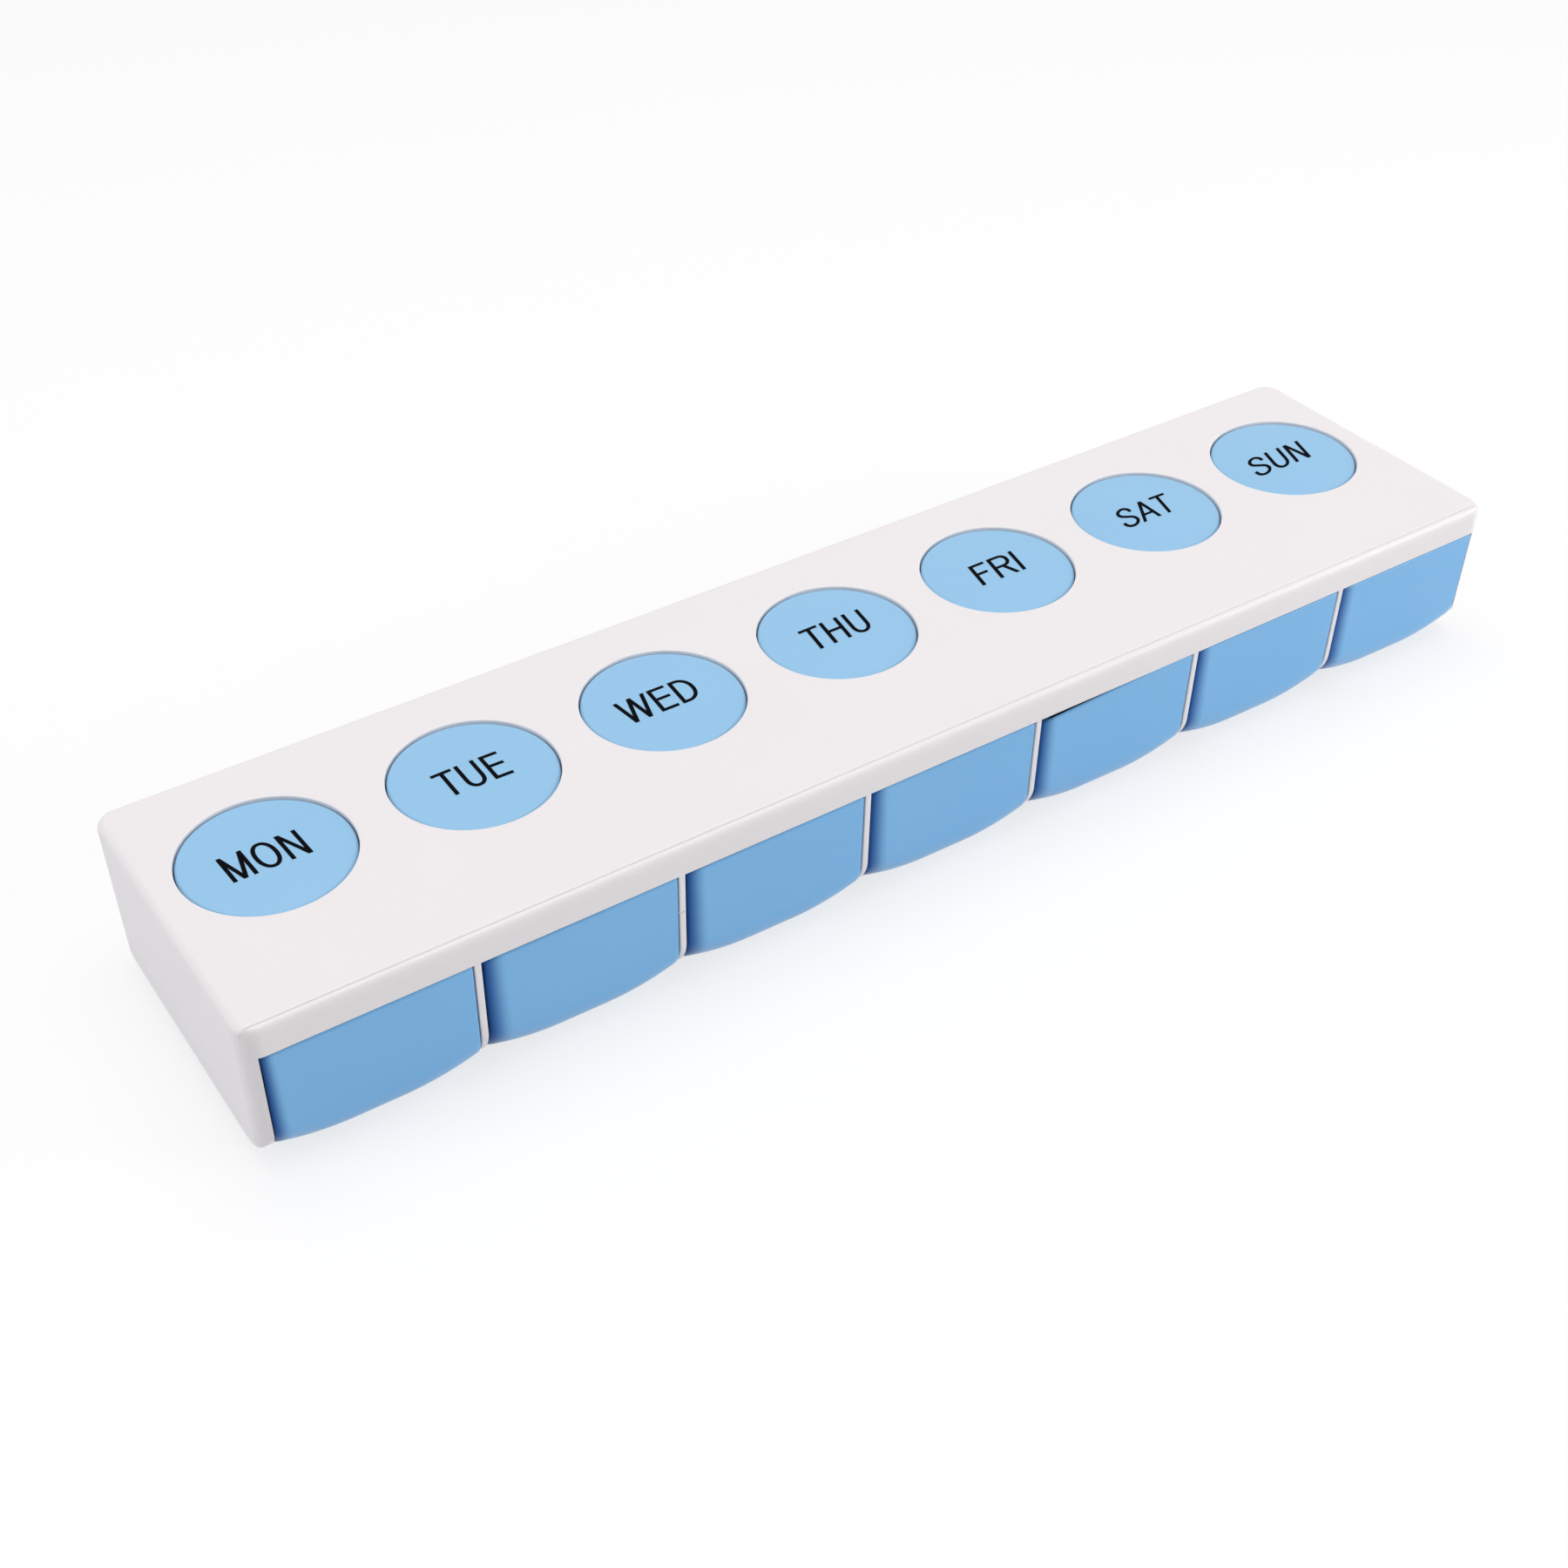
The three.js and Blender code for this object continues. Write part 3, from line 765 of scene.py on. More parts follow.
    def divider(self) -> Solid:
        """One divider at X = 0 with rounded front edges and without its notches.

        Returns:
            The divider.
        """
        f = self.form
        under = f.plate_under - f.hairline
        sides = []
        for way, r in zip((-1, 1), self.divider_rounds):
            side = []
            for degrees in self.divider_angles:
                angle = math.radians(degrees)
                x = f.divider / 2 - r * (1 - math.cos(angle))
                side.append((way * x, self.wall_outline(under, r * (1 - math.sin(angle)))))
            sides.append(side)
        left, right = sides
        return Solid.lofted([*left, *reversed(right)], Axis.X)

    def rim(self) -> Solid:
        """The lip over the drawers and an upright strip at each end.

        Returns:
            The front of the frame, still without dividers.
        """
        f = self.form
        opening = Solid.box(
            -f.inside, f.inside, f.front - PAST, f.back, f.belly - PAST, f.lip_bottom
        )
        block = self.block(self.lip_rim)
        return block.cut(self.behind_frame(0.0), opening, self.seam_cutter(f.seam_y, -1))

    def divider_frame(self) -> Solid:
        """The lip, the dividers, the rails and the wall behind the drawers.

        Returns:
            The frame with its spring pegs, screw blocks and bores.
        """
        f = self.form
        side, wide, half = f.inside - f.hairline, f.divider, f.divider / 2
        behind, far = f.cross_wall_front, f.back + PAST
        over_cover, under_deck = f.cover_top + f.hairline, f.deck_bottom - f.gap
        ledge = Solid.box(
            -side,
            side,
            f.seam_y - OVERLAP,
            f.front + f.ledge,
            f.lip_bottom,
            f.plate_under - f.hairline,
        )
        notch = f.drawer_back + self.cover_notch
        divider = self.divider().cut(
            Solid.box(-wide, wide, self.deck_notch, far, under_deck, f.height),
            Solid.box(-wide, wide, notch, far, f.belly - PAST, over_cover),
            Solid.box(-wide, wide, behind + OVERLAP, far, f.belly - PAST, f.height),
        )
        rails = Solid.apart(
            rail.joined(stop)
            for x in f.divider_centres
            for rail, stop in (self.rail(x - half, -1), self.rail(x + half, 1))
        )
        cross_wall = Solid.box(-side, side, behind, behind + f.cross_wall, over_cover, under_deck)
        pegs = Solid.apart(
            Solid.peg(x, f.spring_z, f.spring_peg, behind - self.peg_length, behind + OVERLAP)
            for x in f.bay_centres
        )
        blocks = self.posts(self.block_radius, over_cover, f.deck_bottom - f.hairline)
        bores = self.posts(self.block_bore, f.belly, f.deck_top)
        seats = self.posts(self.seat_radius, f.belly, f.screw_base)
        dividers = Solid.apart(divider.moved(x=x) for x in f.divider_centres)
        x, z = self.nick
        deep = f.front_at(z) + self.nick_depth
        nick = Solid.box(x - wide, x + wide, f.front, deep, z, z + self.nick_height)
        solid = self.rim().joined(ledge, dividers, rails, cross_wall, pegs, blocks)
        return solid.cut(bores, seats, nick)

    def posts(self, radius: float, low: float, high: float) -> Solid:
        """An upright cylinder round each screw's axis."""
        return Solid.apart(Solid.post(x, y, radius, low, high) for x, y in self.form.screws)


@dataclass(frozen=True)
class ScrewForms:
    """A pan head screw with a cross recess, at X = Y = 0 and with its head below."""

    form: Form = FORM
    head_radius: float = 2.4
    head_height: float = 1.4
    head_round: float = 0.4
    head_sides: int = 48
    round_steps: int = 4
    round_start: float = -15.0
    shank_radius: float = 1.2
    shank_sides: int = 24
    recess_reach: float = 1.3
    recess_half: float = 0.3
    recess_depth: float = 0.7

    def screw(self) -> Solid:
        """The head, the shank and the recess.

        Returns:
            The screw.
        """
        f, radius, r = self.form, self.head_radius, self.head_round
        top = f.screw_base - f.hairline
        low = top - self.head_height
        edge = arc(radius - r, low + r, r, self.round_start, -90, self.round_steps)
        head = [(0, top), (radius, top), (radius, low + r), *edge, (0, low)]
        shank_top = f.plate_under - 2 * OVERLAP
        shank = Solid.post(0, 0, self.shank_radius, top - OVERLAP, shank_top, self.shank_sides)
        reach, half, deep = self.recess_reach, self.recess_half, low + self.recess_depth
        cross = Solid.box(-reach, reach, -half, half, low - PAST, deep).joined(
            Solid.box(-half, half, -reach, reach, low - PAST, deep)
        )
        return Solid.turned(head, 0, 0, self.head_sides).joined(shank).cut(cross)


# Moving parts, each at X = 0


@dataclass(frozen=True)
class ButtonForms:
    """A push button with its latch leg, and how high the ink lies on it."""

    form: Form = FORM
    edge: float = 0.5
    edge_lift: float = 0.04
    edge_steps: int = 7
    edge_end: float = 80.0
    sides: int = 128
    dome_shares: Sequence[float] = (0.8, 0.55, 0.3, 0.12)
    pocket_radius: float = 4.8
    pocket_top: float = 23.85
    flange: float = 1.25
    leg_half: float = 3.0
    leg_low: float = 10.6
    foot_top: float = 11.8
    tooth_reach: float = 2.9
    tooth_low: float = 11.5
    tooth_high: float = 13.0
    tooth_width: float = 1.0
    ink_height: float = 0.03

    def surface(self, x: float, y: float) -> float:
        """Height of the domed top at a place relative to the button's centre."""
        share = (x * x + y * y) / self.form.button_radius**2
        return self.form.button_rim + self.form.button_crown * (1 - share)

    def button(self) -> Solid:
        """The cap, its flange and the leg with the latch tooth.

        Returns:
            The button at X = 0.
        """
        f = self.form
        radius, rim, e = f.button_radius, f.button_rim, self.edge
        dome = [(radius * share, self.surface(radius * share, 0)) for share in self.dome_shares]
        outline = [
            (0, self.pocket_top),
            (self.pocket_radius, self.pocket_top),
            (self.pocket_radius, f.button_bottom),
            (radius + self.flange, f.button_bottom),
            (radius + self.flange, f.button_flange_top),
            (radius, f.button_flange_top),
            *arc(radius - e, rim - e + self.edge_lift, e, 0, self.edge_end, self.edge_steps),
            *dome,
            (0, rim + f.button_crown),
        ]
        cap = Solid.turned(outline, 0, f.button_y, self.sides)
        half, low = self.leg_half, self.leg_low
        leg = Solid.box(-half, half, f.leg_front, f.leg_back, low, f.button_bottom + OVERLAP)
        tip = f.leg_front - self.tooth_reach
        foot = Solid.box(-half, half, tip, f.leg_front + OVERLAP, low, self.foot_top)
        back, middle = tip + self.tooth_width, tip + self.tooth_width / 2
        low, high = self.tooth_low, self.tooth_high
        tooth = Solid.prism([(tip, low), (back, low), (back, high), (middle, high)], -half, half)
        return cap.joined(leg, foot, tooth)


@dataclass(frozen=True)
class Sit:
    """How a drawer's front sits in its opening."""

    left: float
    right: float
    sag: float = 0.0
    sag_width: float = 26.0
    shift: float = SHIFT


SITS = {
    Day.MON: Sit(0.35, 0.05, sag=0.35),
    Day.TUE: Sit(0.45, 0.05, sag=0.50),
    Day.WED: Sit(0.45, 0.05, sag=0.45),
    Day.THU: Sit(0.50, 0.05, sag=0.45),
    Day.FRI: Sit(0.50, 0.08, sag=1.25, sag_width=21.0),
    Day.SAT: Sit(0.50, 0.05, sag=0.45),
    Day.SUN: Sit(0.50, 0.05, sag=0.40, shift=0.0),
}


@dataclass(frozen=True)
class DrawerForms:
    """A drawer with its flanges, lugs, catch and spring peg."""

    form: Form = FORM
    sit: Sit = SITS[Day.TUE]
    top_edge: float = 0.4
    top_slope: float = 0.5
    side_edges: tuple[float, float] = (0.5, 0.3)
    edge_steps: int = 6
    corner_steps: int = 4
    toe_steps: int = 14
    hollow_steps: int = 10
    step: float = 0.05
    across: Sequence[float] = (13.5, 12.1, 10.8, 9.5, 7.8, 6.2, 4.8, 3.5)
    inner_round: float = 1.5
    flange: float = 1.0
    lug_reach: float = 1.0
    catch_half: float = 2.7
    catch: Point = (14.4, 15.5)
    catch_gap: float = 0.5
    hook: Point = (13.3, 14.7)
    hook_width: float = 1.1
    peg_length: float = 1.1

    def setback(self, x: float) -> float:
        """How far the front lies behind the frame at x."""
        share = (x + self.form.drawer_half) / (2 * self.form.drawer_half)
        return self.sit.left + share * (self.sit.right - self.sit.left)

    def top(self, x: float) -> float:
        """Height of the front at x."""
        share = 1 - (x + self.form.drawer_half) / self.sit.sag_width
        return self.form.drawer_top - self.sit.sag * max(0.0, share)

    def ring(self, x: float, inset: float) -> Ring:
        """The front part cut across at x, drawn in by inset.

        Args:
            x: Distance from the drawer's middle, positive towards the right.
            inset: How far it is drawn in.

        Returns:
            Y and Z of its points.
        """
        f, e = self.form, self.top_edge
        base, top = f.belly_at(x), self.top(x)
        toe_z = base + f.drawer_toe
        back_off = self.setback(x) + inset
        panel_back = f.front_at(top) + back_off + e + self.top_slope
        corner = arc(f.front_at(top) + back_off + e, top - e, e, 90, 180, self.corner_steps)
        toe_y = f.front_at(toe_z) + back_off + f.drawer_toe - inset
        start = 180 + f.lean_degrees
        toe = arc(toe_y, toe_z, f.drawer_toe - inset, start, 270, self.toe_steps)
        head_back = f.front + f.head_depth
        return [
            *corner,
            *((min(y, head_back - OVERLAP), max(z - inset, base)) for y, z in toe),
            (head_back, base),
            (head_back, f.flange_top),
            (panel_back, f.flange_top),
            (panel_back, f.flange_top + self.step),
        ]

    def head(self) -> Solid:
        """The front with its rounded edges.

        Returns:
            The front, not yet hollow.
        """
        f = self.form
        sides = []
        for way, reach in zip((-1, 1), self.side_edges):
            places = []
            for step in range(self.edge_steps):
                angle = math.radians(90 * step / self.edge_steps)
                x = f.drawer_half - reach * (1 - math.cos(angle))
                places.append((x, reach * (1 - math.sin(angle))))
            places += [(x, 0.0) for x in self.across]
            sides.append([(way * x, self.ring(way * x, inset)) for x, inset in places])
        left, right = sides
        return Solid.lofted([*left, *reversed(right)], Axis.X)

    def trough(self, half: float, ring_at: Callable[[float], Ring]) -> Solid:
        """A form along the drawer whose outline follows the curved floor.

        Args:
            half: Half of its width.
            ring_at: Gives the outline at a distance from the middle.

        Returns:
            The form.
        """
        places = [half, *(x for x in self.across if x < half)]
        left = [(-x, ring_at(x)) for x in places]
        right = [(x, ring_at(x)) for x in reversed(places)]
        return Solid.lofted([*left, *right], Axis.X)

    def body_ring(self, x: float) -> Ring:
        """The outline behind the front, cut across at x.

        Args:
            x: Distance from the drawer's middle, positive towards the right.

        Returns:
            Y and Z of its points.
        """
        f = self.form
        front, back = f.front + f.head_depth - OVERLAP, f.drawer_back
        base, top = f.belly_at(x), f.flange_top
        return [(front, base), (back, base), (back, top), (front, top)]

    def hollow_ring(self, x: float) -> Ring:
        """The outline of the room for the pills, cut across at x.

        Args:
            x: Distance from the drawer's middle, positive towards the right.

        Returns:
            Y and Z of its points.
        """
        f, r = self.form, self.inner_round
        floor = f.belly_at(x) + f.drawer_floor
        front, back = f.front + f.drawer_front, f.drawer_back - f.drawer_wall
        toe = f.drawer_toe - f.drawer_floor
        return [
            (front, f.height),
            *arc(front + toe, floor + toe, toe, 180, 270, self.hollow_steps),
            *arc(back - r, floor + r, r, 270, 360, self.corner_steps),
            (back, f.height),
        ]

    def drawer(self) -> Solid:
        """The whole drawer.

        Returns:
            The drawer at X = 0.
        """
        f = self.form
        front, back = f.front + f.head_depth - OVERLAP, f.drawer_back
        body = self.trough(f.body_half, self.body_ring)
        hollow = self.trough(f.body_half - f.drawer_wall, self.hollow_ring)
        lug_top = f.rail_top - f.rail
        lug = (back - f.lug_length, back, lug_top - f.lug_height, lug_top - f.gap)
        parts = []
        for side in (-1, 1):
            x0, x1 = sorted((side * (f.body_half - OVERLAP), side * f.drawer_half))
            parts.append(Solid.box(x0, x1, front, back, f.flange_top - self.flange, f.flange_top))
            x0, x1 = sorted((side * (f.body_half - OVERLAP), side * (f.body_half + self.lug_reach)))
            parts.append(Solid.box(x0, x1, *lug))
        half, end = self.catch_half, f.leg_front - self.catch_gap
        catch_front = back - f.drawer_wall + OVERLAP
        parts.append(Solid.box(-half, half, catch_front, end, *self.catch))
        parts.append(Solid.box(-half, half, end - self.hook_width, end, *self.hook))
        parts.append(Solid.peg(0, f.spring_z, f.spring_peg, back - OVERLAP, back + self.peg_length))
        return self.head().joined(body).cut(hollow).joined(*parts)


@dataclass(frozen=True)
class Coil:
    """Round wire wound into a straight or conical spring."""

    length: float
    turns: float
    radius_low: float
    radius_high: float
    wire: float = 0.5
    steps: int = 24
    sides: int = 10

    def solid(self) -> Solid:
        """The spring along Z from 0 to its length.

        Returns:
            The wire at X = Y = 0.
        """
        total = round(self.turns * self.steps)
        rings = []
        for s in range(total + 1):
            share = s / total
            angle = share * self.turns * 2 * math.pi
            radius = self.radius_low + share * (self.radius_high - self.radius_low)
            height = self.wire / 2 + share * (self.length - self.wire)
            for i in range(self.sides):
                around = 2 * math.pi * i / self.sides
                out = radius + self.wire / 2 * math.cos(around)
                z = height + self.wire / 2 * math.sin(around)
                rings.append((out * math.cos(angle), out * math.sin(angle), z))
        faces: list[tuple] = []
        for s in range(total):
            for i in range(self.sides):
                a, b = s * self.sides + i, s * self.sides + (i + 1) % self.sides
                faces.append((a, a + self.sides, b + self.sides, b))
        last = total * self.sides
        faces.append(tuple(range(self.sides)))
        faces.append(tuple(range(last + self.sides - 1, last - 1, -1)))
        return Solid.of(rings, faces)


# Day names


@dataclass(frozen=True)
class Glyph:
    """One plain capital letter. Its strokes are for a capital height of 1."""

    width: float
    before: float
    after: float


@dataclass(frozen=True)
class Print:
    """Where and how a day name is printed, in millimetres from its button's centre."""

    x: float
    baseline: float
    height: float
    stretch: float
    slant: float


PRINTS = {
    Day.MON: Print(-0.31, -2.97, 5.66, 0.995, -0.051),
    Day.TUE: Print(-0.21, -2.94, 5.71, 1.016, 0.011),
    Day.WED: Print(-0.62, -2.59, 5.57, 1.059, 0.080),
    Day.THU: Print(0.19, -2.39, 5.60, 1.089, 0.156),
    Day.FRI: Print(0.11, -2.50, 5.45, 1.165, 0.213),
    Day.SAT: Print(-0.07, -2.52, 5.28, 1.155, 0.289),
    Day.SUN: Print(-0.92, -2.48, 5.28, 1.240, 0.345),
}


class Lettering:
    """Plain stroke capitals for the day names."""

    PEN = 0.106
    BAR_PARTS = 4
    SQUARENESS = 0.93
    GLYPHS = {
        "A": Glyph(0.62, 0.0, 0.0),
        "D": Glyph(0.56, 0.07, 0.045),
        "E": Glyph(0.49, 0.07, 0.04),
        "F": Glyph(0.46, 0.07, 0.03),
        "H": Glyph(0.53, 0.07, 0.07),
        "I": Glyph(0.106, 0.08, 0.08),
        "M": Glyph(0.62, 0.07, 0.07),
        "N": Glyph(0.53, 0.07, 0.07),
        "O": Glyph(0.60, 0.045, 0.045),
        "R": Glyph(0.58, 0.07, 0.02),
        "S": Glyph(0.55, 0.04, 0.04),
        "T": Glyph(0.53, 0.02, 0.02),
        "U": Glyph(0.52, 0.065, 0.065),
        "W": Glyph(0.86, 0.01, 0.01),
    }

    def bar(self, x0: float, y0: float, x1: float, y1: float) -> list[Ring]:
        """A straight stroke in short lengths. A sloping one has level ends.

        Args:
            x0: X of its start.
            y0: Y of its start.
            x1: X of its end.
            y1: Y of its end.

        Returns:
            The outline of each length.
        """
        half = self.PEN / 2
        if y0 == y1:
            ring = [(x0, y0 - half), (x1, y0 - half), (x1, y0 + half), (x0, y0 + half)]
            return [ring]
        half *= math.hypot(x1 - x0, y1 - y0) / abs(y1 - y0)
        cuts = []
        for i in range(self.BAR_PARTS):
            (xa, ya), (xb, yb) = (
                (x0 + (x1 - x0) * t, y0 + (y1 - y0) * t)
                for t in (i / self.BAR_PARTS, (i + 1) / self.BAR_PARTS)
            )
            cuts.append([(xa - half, ya), (xa + half, ya), (xb + half, yb), (xb - half, yb)])
        return cuts

    def ribbon(self, points: Ring, closed: bool = False) -> list[Ring]:
        """A bent stroke along points.

        Args:
            points: The stroke's middle line.
            closed: Whether its end meets its start.

        Returns:
            The outline of each length.
        """
        n, half = len(points), self.PEN / 2
        sides = []
        for i, (x, y) in enumerate(points):
            before = points[i - 1] if closed or i else points[i]
            after = points[(i + 1) % n] if closed or i < n - 1 else points[i]
            dx, dy = after[0] - before[0], after[1] - before[1]
            length = math.hypot(dx, dy)
            nx, ny = -dy / length * half, dx / length * half
            sides.append(((x + nx, y + ny), (x - nx, y - ny)))
        pairs = [(i, (i + 1) % n) for i in range(n if closed else n - 1)]
        return [[sides[i][0], sides[j][0], sides[j][1], sides[i][1]] for i, j in pairs]

    @classmethod
    def oval(
        cls, cx: float, cy: float, rx: float, ry: float, start: float, end: float, steps: int
    ) -> Ring:
        """Points along a slightly squared oval.

        Args:
            cx: X of its centre.
            cy: Y of its centre.
            rx: Half of its width.
            ry: Half of its height.
            start: Angle of the first point in degrees.
            end: Angle of the last point in degrees.
            steps: Number of steps between them.

        Returns:
            The points.
        """
        points = []
        for i in range(steps + 1):
            angle = math.radians(start + (end - start) * i / steps)
            c, s = math.cos(angle), math.sin(angle)
            u = math.copysign(abs(c) ** cls.SQUARENESS, c)
            v = math.copysign(abs(s) ** cls.SQUARENESS, s)
            points.append((cx + rx * u, cy + ry * v))
        return points

    @staticmethod
    def curve(points: Ring, steps: int = 5) -> Ring:
        """A smooth curve through points.

        Args:
            points: The places that it passes.
            steps: Number of steps from one to the next.

        Returns:
            The curve's points.
        """
        first = tuple(2 * a - b for a, b in zip(points[0], points[1]))
        last = tuple(2 * a - b for a, b in zip(points[-1], points[-2]))
        knots = [Vector(p) for p in (first, *points, last)]
        made = []
        for p0, p1, p2, p3 in zip(knots, knots[1:], knots[2:], knots[3:]):
            for k in range(steps):
                t = k / steps
                bend = (2 * p0 - 5 * p1 + 4 * p2 - p3) * t * t + (3 * p1 - p0 - 3 * p2 + p3) * t**3
                point = (2 * p1 + (p2 - p0) * t + bend) / 2
                made.append((point.x, point.y))
        return [*made, points[-1]]

    def strokes(self, letter: str) -> list[Ring]:
        """The outlines of a letter's strokes, for a capital height of 1.

        Args:
            letter: One of the capitals in the day names.

        Returns:
            The outline of each length.
        """
        w, pen = self.GLYPHS[letter].width, self.PEN
        h = pen / 2
        stem, far = self.bar(h, 0, h, 1), self.bar(w - h, 0, w - h, 1)
        if letter == "I":
            return stem
        if letter == "A":
            legs = self.bar(h, 0, w / 2, 1) + self.bar(w / 2, 1, w - h, 0)
            return legs + self.bar(w * 0.22, 0.33, w * 0.78, 0.33)
        if letter == "D":
            x = w * 0.42 - h
            bow = self.oval(x, 0.5, w * 0.58, 0.5 - h, 80, -80, 14)
            return stem + self.ribbon([(pen, 1 - h), (x, 1 - h), *bow, (x, h), (pen, h)])
        if letter == "E":
            arms = ((1 - h, w * 0.98), (0.53, w * 0.95), (h, w))
            return stem + [ring for y, x in arms for ring in self.bar(pen, y, x, y)]
        if letter == "F":
            arms = ((1 - h, w), (0.53, w * 0.86))
            return stem + [ring for y, x in arms for ring in self.bar(pen, y, x, y)]
        if letter == "H":
            return stem + far + self.bar(pen, 0.53, w - pen, 0.53)
        if letter == "M":
            return stem + far + self.bar(h, 1, w / 2, 0) + self.bar(w / 2, 0, w - h, 1)
        if letter == "N":
            return stem + far + self.bar(h + 0.01, 1, w - h - 0.01, 0)
        if letter == "O":
            return self.ribbon(self.oval(w / 2, 0.5, w / 2 - h, 0.512 - h, 0, 350, 35), closed=True)
        if letter == "R":
            x, r = w - 0.2 - h, 0.245
            low = 1 - h - 2 * r + 0.04
            bow = self.oval(x, 1.02 - h - r, 0.19, r - 0.02, 80, -80, 10)
            bowl = self.ribbon([(pen, 1 - h), (x, 1 - h), *bow, (x, low), (pen, low)])
            return stem + bowl + self.bar(w * 0.52, 0.49, w - h + 0.01, 0)
        if letter == "S":
            return self.ribbon(
                self.curve(
                    [
                        (w - 0.075, 0.71),
                        (w - 0.13, 0.87),
                        (w / 2, 0.953),
                        (0.12, 0.88),
                        (0.075, 0.74),
                        (0.14, 0.62),
                        (w / 2, 0.53),
                        (w - 0.115, 0.425),
                        (w - 0.053, 0.27),
                        (w - 0.12, 0.115),
                        (w / 2, 0.047),
                        (0.12, 0.115),
                        (0.045, 0.30),
                    ]
                )
            )
        if letter == "T":
            return self.bar(0, 1 - h, w, 1 - h) + self.bar(w / 2, 0, w / 2, 1 - pen)
        if letter == "U":
            bend = self.oval(w / 2, 0.29 + h, w / 2 - h, 0.30, 180, 360, 14)
            return self.ribbon([(h, 1), *bend, (w - h, 1)])
        xs = (h, w * 0.28, w / 2, w * 0.72, w - h)
        return [
            ring
            for i in range(4)
            for ring in self.bar(xs[i], 1 - i % 2, xs[i + 1], i % 2)
        ]

    def mesh(self, day: Day, forms: ButtonForms, centre: Point) -> Solid:
        """A day name lying on its button's domed top.

        Args:
            day: The day whose name is printed.
            forms: The button's form, which gives the height of its top.
            centre: X and Y of the button's centre.

        Returns:
            The ink as a mesh just above the button.
        """
        place = PRINTS[day]
        glyphs = [self.GLYPHS[letter] for letter in day.name]
        total = sum(g.before + g.width + g.after for g in glyphs)
        vertices, faces, pen = [], [], 0.0
        for letter, glyph in zip(day.name, glyphs):
            pen += glyph.before
            for ring in self.strokes(letter):
                start = len(vertices)
                for u, v in ring:
                    x = place.x + (pen + u - total / 2) * place.height * place.stretch
                    x += place.slant * (v - 0.5) * place.height
                    y = place.baseline + v * place.height
                    z = forms.surface(x, y) + forms.ink_height
                    vertices.append((centre[0] + x, centre[1] + y, z))
                faces.append(tuple(range(start, start + len(ring))))
            pen += glyph.width + glyph.after
        mesh = bpy.data.meshes.new("ink")
        mesh.from_pydata(vertices, [], faces)
        made = bmesh.new()
        made.from_mesh(mesh)
        flipped = [face for face in made.faces if face.normal.z < 0]
        bmesh.ops.reverse_faces(made, faces=flipped)
        made.to_mesh(mesh)
        made.free()
        return Solid(mesh)


# Materials

WHITE = (1.0, 1.0, 1.0, 1.0)


class Value:
    """A shader socket that can be used in arithmetic."""

    def __init__(self, graph: Graph, socket: bpy.types.NodeSocket | None) -> None:
        """Keeps the socket and the graph it belongs to."""
        self.graph = graph
        self.socket = socket

    def _math(self, operation: str, first: Value | float, second: Value | float) -> Value:
        """Adds a Math node."""
        return self.graph.node("ShaderNodeMath", {0: first, 1: second}, operation=operation)

    def __add__(self, other: Value | float) -> Value:
        """This value plus the other."""
        return self._math("ADD", self, other)

    def __radd__(self, other: float) -> Value:
        """The other plus this value."""
        return self._math("ADD", other, self)

    def __sub__(self, other: Value | float) -> Value:
        """This value less the other."""
        return self._math("SUBTRACT", self, other)

    def __rsub__(self, other: float) -> Value:
        """The other less this value."""
        return self._math("SUBTRACT", other, self)

    def __mul__(self, other: Value | float) -> Value:
        """This value times the other."""
        return self._math("MULTIPLY", self, other)

    def __rmul__(self, other: float) -> Value:
        """The other times this value."""
        return self._math("MULTIPLY", other, self)

    def __truediv__(self, other: Value | float) -> Value:
        """This value divided by the other."""
        return self._math("DIVIDE", self, other)

    def __rtruediv__(self, other: float) -> Value:
        """The other divided by this value."""
        return self._math("DIVIDE", other, self)

    def below(self, limit: Value | float) -> Value:
        """1 where this value is under the limit, and 0 elsewhere."""
        return self._math("LESS_THAN", self, limit)

    def fraction(self) -> Value:
        """What is left of this value above the whole number below it."""
        return self.graph.node("ShaderNodeMath", {0: self}, operation="FRACT")

    def at_least(self, limit: Value | float) -> Value:
        """The larger of this value and the limit."""
        return self._math("MAXIMUM", self, limit)


